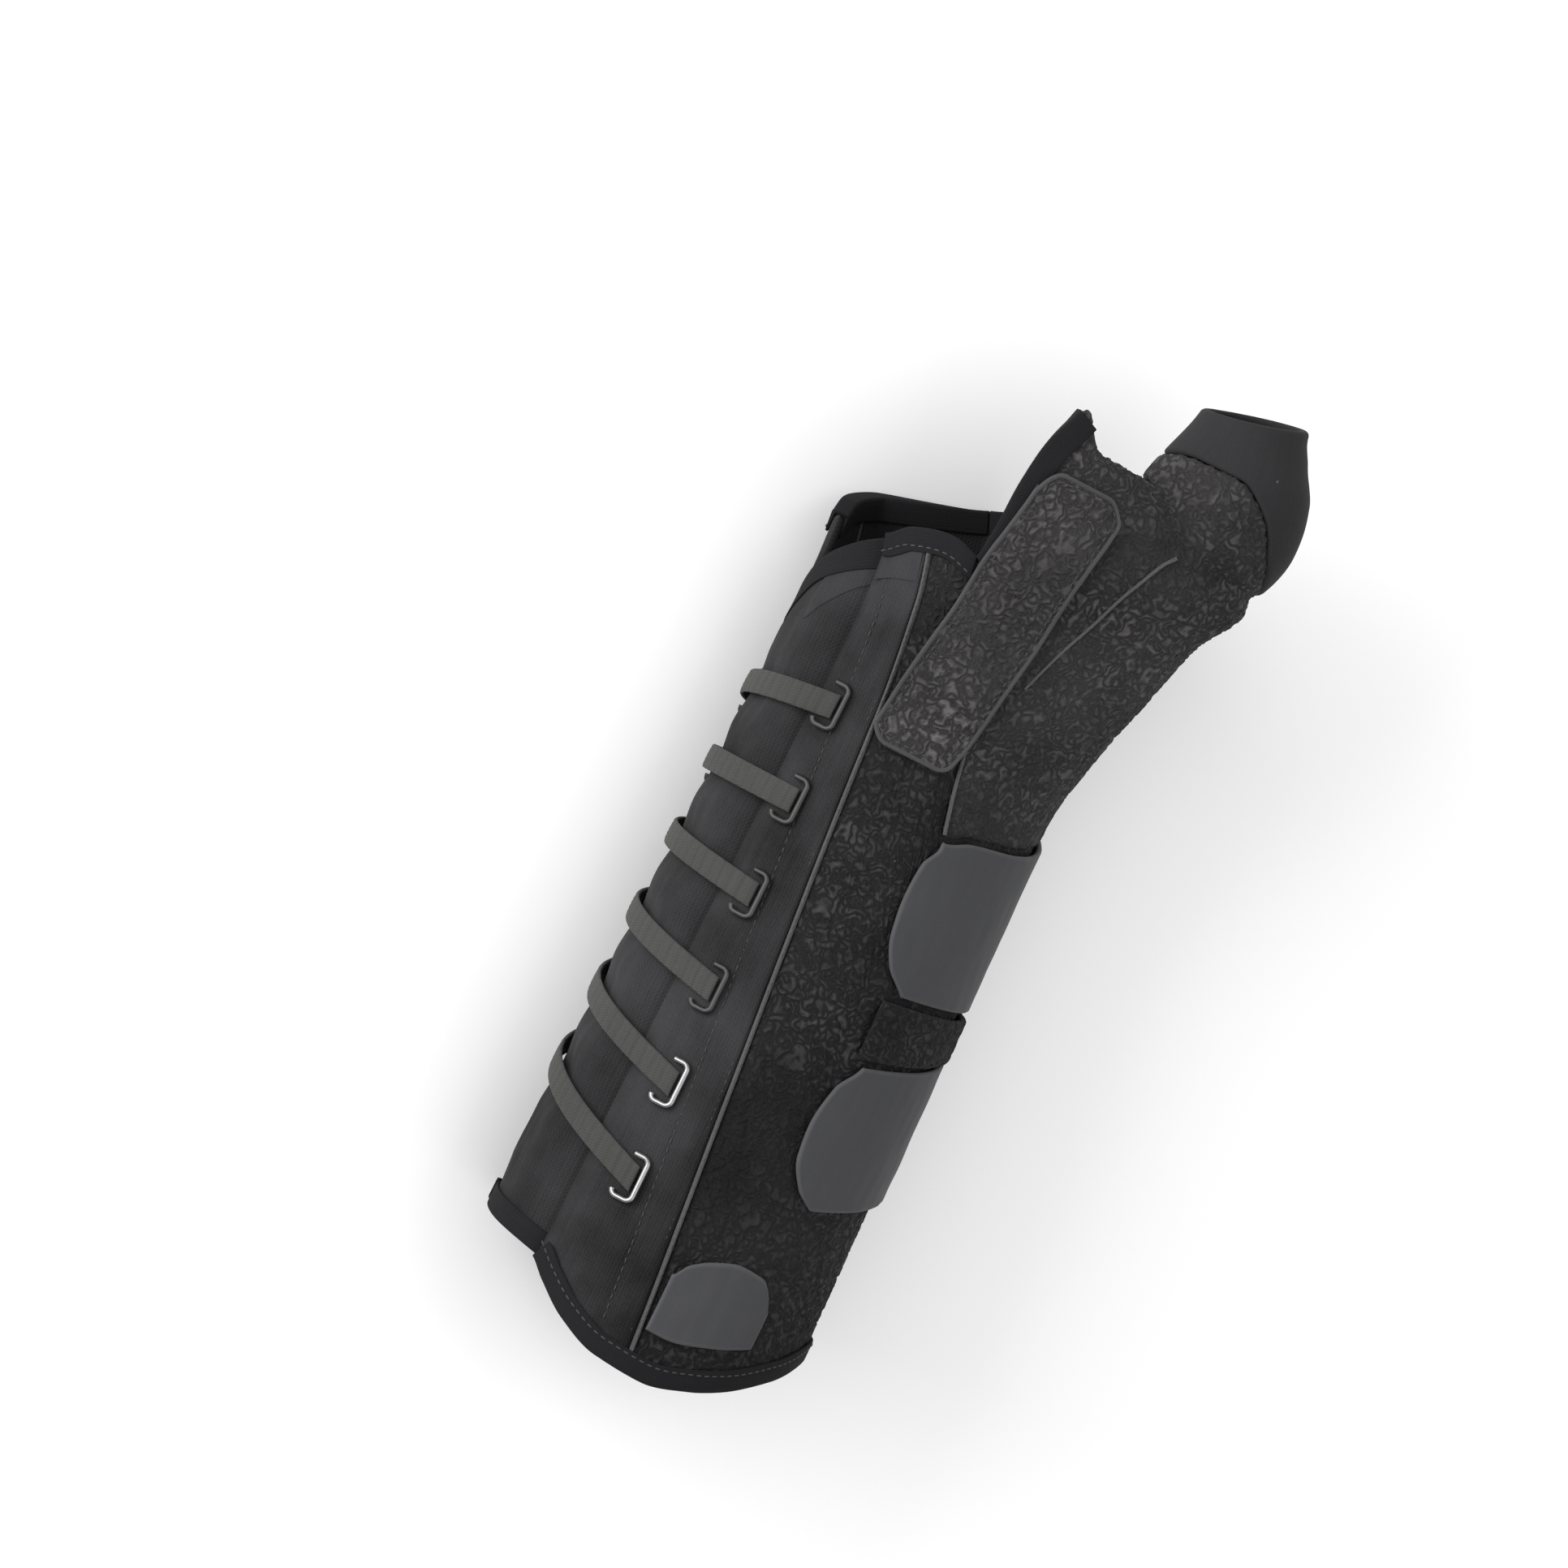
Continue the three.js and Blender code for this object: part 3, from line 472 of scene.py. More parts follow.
def stitches(form, name, paths, height, pitch, length, width):
    """Rows of short thread stitches that lie on the cloth."""
    ends = np.array([(-1, 0.02), (-0.72, 0.8), (0, 1.0), (0.72, 0.8), (1, 0.02)])
    points, faces = [], []
    for path in paths:
        stops = even_path(form, path, pitch)
        at = form.cuff(stops[:, 0], stops[:, 1], height)
        over = form.cuff(stops[:, 0], stops[:, 1], height + 1.0)
        tangent = np.gradient(at, axis=0)
        tangent /= np.linalg.norm(tangent, axis=1, keepdims=True)
        up = over - at
        up /= np.linalg.norm(up, axis=1, keepdims=True)
        side = np.cross(tangent, up)
        for centre, t, n, s in zip(at, tangent, up, side):
            start = len(points)
            for share, fat in ends:
                for k in range(THREAD_SIDES):
                    a = k * 2 * math.pi / THREAD_SIDES
                    offset = s * math.cos(a) * width / 2 + n * (math.sin(a) * width / 2)
                    points.append(centre + t * share * length / 2 + offset * fat - n * 0.12 * share * share)
            faces += ring_faces(len(ends), THREAD_SIDES, start)
    return new_piece(name, points, faces)


def dress(piece, finishes, slot, *nodes, padded=False):
    """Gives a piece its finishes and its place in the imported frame."""
    for name in finishes:
        piece.data.materials.append(bpy.data.materials[name])
    if len(piece.data.materials) == 1:
        piece.data.polygons.foreach_set("material_index", [0] * len(piece.data.polygons))
    if nodes:
        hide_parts(*nodes)
    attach(piece, "root")


# Materials


def node(tree, kind, inputs=None, **settings):
    made = tree.nodes.new(kind)
    for key, value in settings.items():
        setattr(made, key, value)
    for key, value in (inputs or {}).items():
        socket = made.inputs[key]
        if isinstance(value, bpy.types.NodeSocket):
            tree.links.new(value, socket)
        else:
            socket.default_value = value
    return made


class Shading:
    """Short names for the nodes that the materials use again and again in one tree."""

    def __init__(self, tree):
        self.tree = tree

    def math(self, operation, a, b, clamp=False):
        return node(self.tree, "ShaderNodeMath", {0: a, 1: b}, operation=operation, use_clamp=clamp).outputs[0]

    def add(self, a, b, clamp=False):
        return self.math("ADD", a, b, clamp)

    def subtract(self, a, b, clamp=False):
        return self.math("SUBTRACT", a, b, clamp)

    def multiply(self, a, b, clamp=False):
        return self.math("MULTIPLY", a, b, clamp)

    def divide(self, a, b):
        return self.math("DIVIDE", a, b)

    def vector(self, operation, inputs):
        return node(self.tree, "ShaderNodeVectorMath", inputs, operation=operation).outputs[0]

    def scaled(self, vector, size):
        return self.vector("SCALE", {0: vector, "Scale": self.divide(1.0, size)})

    def noise(self, vector, scale=1.0, detail=2.0, roughness=0.5, output="Fac"):
        inputs = {"Vector": vector, "Scale": scale, "Detail": detail, "Roughness": roughness}
        return node(self.tree, "ShaderNodeTexNoise", inputs).outputs[output]

    def mix(self, factor, dark, light):
        return node(self.tree, "ShaderNodeMix", {"Factor": factor, 6: dark, 7: light}, data_type="RGBA").outputs[2]


def new_group(name, inputs, outputs):
    """An empty node group, with its maker, its input sockets and its output sockets."""
    if name in bpy.data.node_groups:
        bpy.data.node_groups.remove(bpy.data.node_groups[name])
    tree = bpy.data.node_groups.new(name, "ShaderNodeTree")
    tree.interface.new_socket("Vector", in_out="INPUT", socket_type="NodeSocketVector")
    for label, default in inputs.items():
        tree.interface.new_socket(label, in_out="INPUT", socket_type="NodeSocketFloat").default_value = default
    for label in outputs:
        tree.interface.new_socket(label, in_out="OUTPUT", socket_type="NodeSocketFloat")
    return Shading(tree), tree.nodes.new("NodeGroupInput").outputs, tree.nodes.new("NodeGroupOutput").inputs


def build_pile_group():
    """Looped pile: worm-like loops with fuzz between them."""
    make, given, out = new_group("pile_loops", {"Loop size": 0.002}, ["Height", "Tone"])
    where = make.scaled(given["Vector"], given["Loop size"])
    drift = make.noise(where, 0.85, 1.0, output="Color")
    shift = make.vector("SUBTRACT", {0: drift, 1: (0.5, 0.5, 0.5)})
    bent = make.vector("ADD", {0: where, 1: make.vector("SCALE", {0: shift, "Scale": 3.4})})
    cells = node(make.tree, "ShaderNodeTexVoronoi", {"Vector": bent, "Scale": 1.0}, feature="DISTANCE_TO_EDGE")
    ridge = make.multiply(make.subtract(cells.outputs["Distance"], 0.05), 3.4, clamp=True)
    fuzz = make.noise(where, 5.0, 3.0, 0.65)
    patch = make.noise(where, 0.11)
    strong = make.multiply(make.subtract(patch, 0.3), 2.6, clamp=True)
    high = make.add(make.multiply(ridge, 0.7), make.multiply(fuzz, 0.3))
    make.tree.links.new(high, out["Height"])
    # The tone follows the ridges: the loops' tops are painted light and the grooves between them painted shade,
    # strongest in broad patches, with random fuzz on top.
    tone = make.multiply(make.multiply(ridge, strong), 0.75)
    make.tree.links.new(make.add(tone, make.multiply(fuzz, 0.35), clamp=True), out["Tone"])


def build_weave_group():
    """Threads that cross at two pitches, along the cloth's own map."""
    pitches = {"Across": 0.0008, "Along": 0.0008, "Waver": 0.15}
    make, given, out = new_group("thread_weave", pitches, ["Height", "Tone"])
    cloth = given["Vector"]
    parts = node(make.tree, "ShaderNodeSeparateXYZ", {0: cloth}).outputs
    waver = make.multiply(make.noise(make.scaled(cloth, 0.006)), given["Waver"])
    waves = []
    for axis, pitch in (("X", "Across"), ("Y", "Along")):
        turns = make.add(make.divide(parts[axis], given[pitch]), waver)
        waves.append(make.math("SINE", make.multiply(turns, 2 * math.pi), 0.5))
    cross = make.multiply(waves[0], waves[1])
    high = make.add(make.multiply(cross, 0.35), 0.5)
    high = make.add(high, make.multiply(waves[0], 0.15), clamp=True)
    make.tree.links.new(high, out["Height"])
    grain = make.noise(make.scaled(cloth, 0.0009), detail=3.0)
    streak = make.noise(make.vector("MULTIPLY", {0: cloth, 1: (800.0, 45.0, 1.0)}))
    # The raised threads come out lighter, which is painted light on the weave's relief; grain and streaks add random
    # tone.
    tone = make.add(make.multiply(high, 0.4), make.multiply(grain, 0.3))
    make.tree.links.new(make.add(tone, make.multiply(streak, 0.3)), out["Tone"])


def build_dye_sheen_and_lint_group():
    """Uneven dyeing and painted sheen in broad soft patches, and stray lint in short specks."""
    make, given, out = new_group("uneven_dye", {"Patch size": 0.03}, ["Patch", "Lint"])
    patch = make.noise(make.scaled(given["Vector"], given["Patch size"]), detail=3.0)
    make.tree.links.new(patch, out["Patch"])
    lint_place = make.scaled(given["Vector"], 0.011)
    cells = node(make.tree, "ShaderNodeTexVoronoi", {"Vector": lint_place, "Scale": 1.0}).outputs
    near = make.math("LESS_THAN", cells["Distance"], 0.03)
    pick = node(make.tree, "ShaderNodeSeparateColor", {0: cells["Color"]}).outputs[0]
    rare = make.math("GREATER_THAN", pick, 0.8)
    make.tree.links.new(make.multiply(near, rare), out["Lint"])


def empty_material(name):
    material = bpy.data.materials.new(name)
    material.use_nodes = True
    material.node_tree.nodes.clear()
    return Shading(material.node_tree)


def finish_material(make, colour, rough, relief, values):
    """Joins the shader to its three maps and sets its uniform values."""
    shader = node(
        make.tree, "ShaderNodeBsdfPrincipled", {"Base Color": colour, "Roughness": rough, "Normal": relief, **values}
    )
    node(make.tree, "ShaderNodeOutputMaterial", {0: shader.outputs[0]})


def group_in(make, name, place, values):
    group = node(make.tree, "ShaderNodeGroup", node_tree=bpy.data.node_groups[name])
    make.tree.links.new(place, group.inputs["Vector"])
    for key, value in values.items():
        group.inputs[key].default_value = value
    return group.outputs


def cloth_material(name, dark, light, pitch, bump, depth, roughness, sheen=0.02, painted_edge_highlight=0.0, mottle=0.7):
    """A cloth with its own pile or weave, uneven dyeing with painted sheen in broad patches, lint, and a painted
    highlight along its edges.
    """
    make = empty_material(name)
    coordinates = node(make.tree, "ShaderNodeTexCoord").outputs
    place = coordinates["Object"]
    piled = "Loop size" in pitch
    pattern = group_in(make, "pile_loops" if piled else "thread_weave", place if piled else coordinates["UV"], pitch)
    dye_sheen_and_lint = group_in(make, "uneven_dye", place, {})
    # The broad patches shift the tone: uneven dyeing together with painted sheen.
    uneven = make.multiply(make.subtract(dye_sheen_and_lint["Patch"], 0.5), mottle)
    tone = make.add(pattern["Tone"], uneven, clamp=True)
    colour = make.mix(tone, (*dark, 1), (*light, 1))
    colour = make.mix(make.multiply(dye_sheen_and_lint["Lint"], 0.2), colour, (0.3, 0.3, 0.3, 1))
    # A painted highlight: within about a millimetre of the piece's edges the colour turns toward light grey.
    if painted_edge_highlight:
        border = node(make.tree, "ShaderNodeAttribute", attribute_name="edge").outputs["Fac"]
        rim = make.subtract(1.0, make.divide(border, 0.0011), clamp=True)
        colour = make.mix(make.multiply(rim, painted_edge_highlight), colour, (0.25, 0.25, 0.26, 1))
    rough = make.add(make.multiply(pattern["Tone"], -0.12), roughness, clamp=True)
    relief = node(make.tree, "ShaderNodeBump", {"Strength": bump, "Distance": depth, "Height": pattern["Height"]})
    values = {"Sheen Weight": sheen, "Sheen Roughness": 0.5, "Specular IOR Level": 0.12}
    finish_material(make, colour, rough, relief.outputs[0], values)


def wire_material(name, dark, light, tarnish):
    """Drawn steel wire with fine scratches and a duller coat in patches."""
    make = empty_material(name)
    place = node(make.tree, "ShaderNodeTexCoord").outputs["Object"]
    dull, fine = make.noise(place, 260.0, 4.0), make.noise(place, 2400.0)
    colour = make.mix(dull, (*dark, 1), (*light, 1))
    rough = make.add(make.multiply(dull, 0.22), tarnish, clamp=True)
    relief = node(make.tree, "ShaderNodeBump", {"Strength": 0.12, "Distance": 0.00005, "Height": fine})
    finish_material(make, colour, rough, relief.outputs[0], {"Metallic": 1.0})


def shade(colour, factor):
    return tuple(min(channel * factor, 1) for channel in colour)


PILE = {"Loop size": 0.0038}
KNIT = {"Across": 0.0009, "Along": 0.0011}
LACE_WEAVE = {"Across": 0.0035, "Along": 0.0007, "Waver": 0.4}
WELT_WEAVE = {"Across": 0.0007, "Along": 0.0019, "Waver": 0.6}


def weave(across, along):
    return {"Across": across, "Along": along}


# Name, colour, its darkest and lightest share, pattern, strength and depth of the relief, roughness, then what
# differs from the usual sheen, painted edge highlight and mottle (uneven dyeing with painted sheen).
CLOTHS = (
    ("looped_pile", "pile", 0.25, 3.3, PILE, 0.9, 0.0009, 0.95, {"mottle": 0.45}),
    ("light_looped_pile", "pile", 0.55, 6.4, PILE, 0.9, 0.0009, 0.95, {"mottle": 0.45}),
    ("smooth_knit", "smooth", 0.3, 1.75, KNIT, 0.45, 0.0003, 0.85, {"mottle": 2.4}),
    ("yoke_knit", "smooth", 0.5, 1.75, KNIT, 0.45, 0.0003, 0.85, {"mottle": 2.4}),
    ("strap_edge", "welt", 0.3, 0.95, weave(0.0009, 0.0006), 0.5, 0.0003, 0.8, {"sheen": 0.1}),
    ("lining_knit", "smooth", 0.5, 1.0, weave(0.0014, 0.0012), 0.5, 0.0003, 0.92, {}),
    ("tongue_knit", "smooth", 0.35, 1.6, weave(0.0012, 0.0012), 0.45, 0.0003, 0.92, {"mottle": 2.2}),
    ("neoprene_face", "smooth", 0.7, 1.3, weave(0.0006, 0.0006), 0.3, 0.0002, 0.9, {}),
    ("tab_cloth", "tab", 0.86, 1.12, weave(0.0005, 0.0005), 0.25, 0.00015, 0.75, {"sheen": 0.05, "painted_edge_highlight": 0.1}),
    ("flat_lace", "lace", 0.6, 1.35, LACE_WEAVE, 0.6, 0.0004, 0.85, {"sheen": 0.05}),
    ("folded_tape", "tape", 0.7, 1.5, weave(0.0008, 0.0006), 0.5, 0.0003, 0.95, {"sheen": 0.0}),
    ("seam_welt", "welt", 0.45, 1.35, WELT_WEAVE, 0.6, 0.0004, 0.8, {"sheen": 0.1}),
    ("sewing_thread", "welt", 0.35, 0.8, weave(0.0004, 0.0004), 0.3, 0.0001, 0.7, {"sheen": 0.1}),
)


def build_materials(looks):
    """All finishes of the splint, by name."""
    build_pile_group()
    build_weave_group()
    build_dye_sheen_and_lint_group()
    for name, colour, dark, light, pitch, bump, depth, roughness, others in CLOTHS:
        base = getattr(looks, f"{colour}_colour")[:]
        cloth_material(name, shade(base, dark), shade(base, light), pitch, bump, depth, roughness, **others)
    wire = looks.wire_colour[:]
    wire_material("bright_wire", shade(wire, 0.75), wire, 0.2)
    # The upper loops' copy: the same wire darkened, as painted shade.
    wire_material("dulled_wire", shade(wire, 0.13), shade(wire, 0.28), 0.38)


# Sizes and colours that a user would change


def length_property(name, description, default):
    return bpy.props.FloatProperty(name=name, description=description, default=default, min=0.0001, unit="LENGTH")


def colour_property(name, description, default):
    return bpy.props.FloatVectorProperty(
        name=name, description=description, default=default, min=0, max=1, size=3, subtype="COLOR"
    )


class SplintSizes(bpy.types.PropertyGroup):
    length: length_property("Length", "From the lower rim to the web of the thumb", 0.25)
    forearm_depth: length_property("Forearm depth", "From the back to the palm side at the lower rim", 0.0886)
    forearm_width: length_property("Forearm width", "From the thumb side to the little-finger side", 0.084)
    wall: length_property("Wall", "Thickness of the padded cloth", 0.003)
    thumb_bulge: length_property("Thumb bulge", "Widest diameter of the thumb tube", 0.044)
    thumb_wall: length_property("Thumb wall", "Thickness of the thumb tube", 0.0026)
    thenar_height: length_property("Thenar height", "Swelling over the ball of the thumb", 0.034)
    gauntlet_rise: length_property("Gauntlet rise", "How far the gauntlet stands over the cuff", 0.0008)
    strap_thickness: length_property("Strap thickness", "Thickness of the web strap and of the band", 0.0022)
    tab_thickness: length_property("Tab thickness", "Thickness of the smooth pull tabs", 0.0016)
    tongue_thickness: length_property("Tongue thickness", "Thickness of the padded tongue", 0.0022)
    tongue_bulge: length_property("Tongue bulge", "How far the tongue swells between the laced edges", 0.004)
    lace_width: length_property("Lace width", "Width of the flat laces", 0.0064)
    lace_thickness: length_property("Lace thickness", "Thickness of the flat laces", 0.0011)
    loop_length: length_property("Loop length", "Long side of a wire loop", 0.013)
    loop_depth: length_property("Loop depth", "Reach of the arms of a wire loop", 0.0055)
    wire_diameter: length_property("Wire diameter", "Diameter of the loops' wire", 0.0015)
    welt_width: length_property("Welt width", "Width of the raised seams", 0.0012)
    tape_width: length_property("Tape width", "How far the edge tape reaches onto the cloth", 0.005)
    tape_thickness: length_property("Tape thickness", "Thickness of the edge tape", 0.0008)
    pile_relief: length_property("Pile relief", "Depth of the loops of the pile", 0.00045)


class SplintLooks(bpy.types.PropertyGroup):
    pile_colour: colour_property("Pile", "Colour of the looped pile", (0.0152, 0.0145, 0.0145))
    smooth_colour: colour_property("Smooth cloth", "Colour of the smooth knit", (0.0200, 0.0200, 0.0212))
    tab_colour: colour_property("Tabs", "Colour of the pull tabs", (0.0470, 0.0475, 0.0505))
    lace_colour: colour_property("Laces", "Colour of the flat laces", (0.0460, 0.0460, 0.0440))
    tape_colour: colour_property("Tape", "Colour of the edge tape", (0.0095, 0.0095, 0.0105))
    welt_colour: colour_property("Welts", "Colour of the raised seams", (0.075, 0.075, 0.076))
    wire_colour: colour_property("Wire", "Colour of the bright wire loops", (0.27, 0.27, 0.275))


class PieceStep:
    """What the steps share that build pieces: each reads the sizes, and an error in it is raised."""

    def execute(self, context):
        sizes = context.scene.splint_sizes
        self.build(sizes, Form(sizes))
        return {"FINISHED"}


class SPLINT_OT_materials(bpy.types.Operator):
    """Make the cloth, thread and wire finishes"""

    bl_idname = "splint.materials"
    bl_label = "Finishes"

    def execute(self, context):
        build_materials(context.scene.splint_looks)
        return {"FINISHED"}


def pile_relief(form, depth):
    """Loops of the pile that sink into the face between the ridges."""

    return lambda angle, y: depth * (curls(form.cuff(angle, y, 0.0), PILE_PITCH) - 1)


class SPLINT_OT_cuff(PieceStep, bpy.types.Operator):
    """Build the pile-faced wrap and the two smooth lacing panels"""

    bl_idname = "splint.cuff"
    bl_label = "Cuff"

    def build(self, sizes, form):
        gap = mm(sizes.welt_width) / 2 - 0.1

        def top(angle):
            under = form.gauntlet_foot(angle) + 1.0
            start = np.clip((angle + 20) / 3, 0, 1)
            end = np.clip((153.5 - angle) / 3, 0, 1)
            covered = np.minimum(start, end)
            return form.distal(angle) * (1 - covered) + np.minimum(form.distal(angle), under) * covered

        wrap = cloth_panel(
            form, "padded_wrap",
            form.beside(form.near_seam, gap), form.beside(form.far_seam, -gap),
            form.proximal, top, -form.wall, 0.0, 212, 214,
            relief=pile_relief(form, mm(sizes.pile_relief)),
        )
        dress(wrap, ["looped_pile", "lining_knit"], "pile_fabric", "body_wrap", padded=True)

        def stay(angle, y):
            """A flat stay in its pocket beside the seam, and soft puckers between the loops."""
            off = (form.near_seam(y) - angle) * np.radians(1) * form.radius(angle, y)
            pocket = 0.35 * (1 / (1 + np.exp((off - 9.2) / 0.5))) - 0.28 * bump(off, STAY_WIDTH, 0.7)
            waves = 0.3 * soft_noise(angle / 13, y / 22, 3) - 1.4 * bump(angle, NEAR_EDGE, 4.5)
            pull = 0.3 * np.sin(2 * np.pi * y / LOOP_PITCH) * bump(off, 24, 8)
            return np.where(y < 0.86 * form.length, pocket, 0) + waves + pull - 0.35

        near = cloth_panel(
            form, "radial_panel_cloth", NEAR_EDGE, form.beside(form.near_seam, -gap),
            form.proximal, form.distal, -form.wall, 0.0, 60, 200, relief=stay,
        )
        dress(near, ["smooth_knit", "lining_knit"], "smooth_fabric", "radial_lacing_panel", padded=True)
        yoke = cloth_panel(
            form, "yoke_cloth", -59.5, form.beside(form.near_seam, -1.4),
            form.edge(YOKE_FOOT), lambda angle: form.distal(angle) - 4.5, -0.25, 0.3, 40, 24,
            relief=lambda angle, y: -1.1 * bump(angle, NEAR_EDGE, 4.5),
        )
        dress(yoke, ["yoke_knit"], "smooth_fabric")
        far = cloth_panel(
            form, "ulnar_panel_cloth", form.beside(form.far_seam, gap), FAR_EDGE,
            form.proximal, form.distal, -form.wall, 0.0, 50, 180,
            relief=lambda angle, y: 0.2 * soft_noise(angle / 15, y / 28, 5) - 0.3,
        )
        dress(far, ["smooth_knit", "lining_knit"], "smooth_fabric", "ulnar_lacing_panel", padded=True)


def tongue_face(form, sizes):
    """The height of the tongue's outer face, which swells between the laced edges."""
    deep = form.wall + TAPE_GAP + mm(sizes.tape_thickness) + FIT

    def height(angle, y):
        share = np.clip((angle - BACK) / TONGUE_REACH, -1, 1)
        return mm(sizes.tongue_bulge) * (1 - share**4) - deep

    return height


def tongue_folds(form):
    """Lengthwise folds, and hollows where the laces press."""
    top, low_top = TOP_LOOP * form.length, TOP_FAR_LOOP * form.length

    def relief(angle, y):
        across = np.clip((form.loop_row(y) - angle) / (form.loop_row(y) - form.far_loop_row(y)), 0, 1)
        pitch = LOOP_PITCH + (FAR_LOOP_PITCH - LOOP_PITCH) * across
        turns = np.clip((top + (low_top - top) * across - y) / pitch, -0.5, LACE_COUNT - 0.5)
        pressed = np.cos(2 * np.pi * turns)
        from_end = np.minimum(form.tongue_top(angle) - y, y - form.proximal(angle))
        share = np.clip(1.05 - np.abs(angle - BACK) / TONGUE_REACH, 0, 1) * np.clip((from_end - 6) / 8, 0, 1)
        lengthwise = np.sin((angle + 3 * np.sin(y / 31)) / 3.4) * 0.3
        return (lengthwise + 0.25 * soft_noise(angle / 12, y / 20, 9) - 0.8 * pressed) * share

    return relief


class SPLINT_OT_tongue(PieceStep, bpy.types.Operator):
    """Build the padded tongue under the lacing"""

    bl_idname = "splint.tongue"
    bl_label = "Tongue"

    def build(self, sizes, form):
        swell = tongue_face(form, sizes)
        tongue = cloth_panel(
            form, "tongue_cloth", -128, -52, form.proximal, form.tongue_top,
            lambda angle, y: swell(angle, y) - mm(sizes.tongue_thickness), swell, 90, 200, relief=tongue_folds(form),
        )
        dress(tongue, ["tongue_knit", "lining_knit"], "tongue_fabric", "tongue", padded=True)

        def on_tongue(angle, y, height):
            return form.cuff(angle, y, height + swell(angle, y))

        yoke = cloth_panel(
            form, "tongue_yoke_cloth", -84, -61.5, form.edge(YOKE_FOOT), lambda angle: form.tongue_top(angle) - 6,
            -0.25, 0.3, 30, 24, relief=tongue_folds(form), place=on_tongue,
        )
        dress(yoke, ["yoke_knit"], "tongue_fabric")
        low, high, under = 0.1, mm(sizes.tape_thickness), -mm(sizes.tongue_thickness)
        for name, edge, side, reach in (
            ("tongue_top_tape", form.tongue_top, 1.0, 6.5), ("tongue_foot_tape", form.proximal, -1.0, 5.0),
        ):
            path = edge_path(edge, FAR_EDGE - 359, NEAR_EDGE - 1, 90)
            outline = tape_outline(reach, low, high, under)
            tape = swept(name, along_path(form, path, outline, side, on_tongue))
            dress(tape, ["folded_tape"], "binding_tape")


def boolean(piece, other, operation):
    modifier = piece.modifiers.new("cut", "BOOLEAN")
    modifier.object = other
    modifier.operation = operation
    modifier.solver = "MANIFOLD"
    finish_modifier(piece, modifier)
    bpy.data.meshes.remove(other.data)


def finish_modifier(piece, modifier):
    bpy.ops.object.select_all(action="DESELECT")
    piece.select_set(True)
    bpy.context.view_layer.objects.active = piece
    bpy.ops.object.modifier_apply(modifier=modifier.name)


def limb_plug(name, place, low, high, height, columns, rows):
    """A closed solid that fills a hollow, for cutting it."""
    y = np.linspace(low, high, rows + 1)[:, None]
    angle = np.arange(columns)[None, :] * 360 / columns
    return swept(name, place(angle, y + 0 * angle, height))


def thumb_ring(form, name, low, high, bottom, top, columns, rows, relief=None):
    """A tube of cloth round the thumb with rounded ends."""
    radius = (top - bottom) / 2
    angle = np.arange(columns) * 360 / columns + THUMB_START
    shares = side_lines(rows, radius / 20)
    stations = []
    for value in angle:
        start, end = value_of(low, value), value_of(high, value)
        y = start + (end - start) * shares
        from_end = np.minimum(y - start, end - y)
        swell = np.sqrt(np.clip(1 - np.clip(1 - from_end / radius, 0, 1) ** 2, 0, 1))
        middle, half = (top + bottom) / 2, (top - bottom) / 2
        extra = 0 if relief is None else relief(value, y) * swell
        outer = form.thumb(value, y, middle + half * swell + extra)
        inner = form.thumb(value, y, middle - half * swell)
        stations.append(np.concatenate([outer, inner[::-1][1:-1]]))
    stations = np.array(stations)
    turn = np.radians(angle) * form.bulge / 2
    uv = np.stack([np.broadcast_to(turn[:, None], stations.shape[:2]), stations[..., 1]], -1).reshape(-1, 2)
    return swept(name, stations, closed=True, uv=uv)


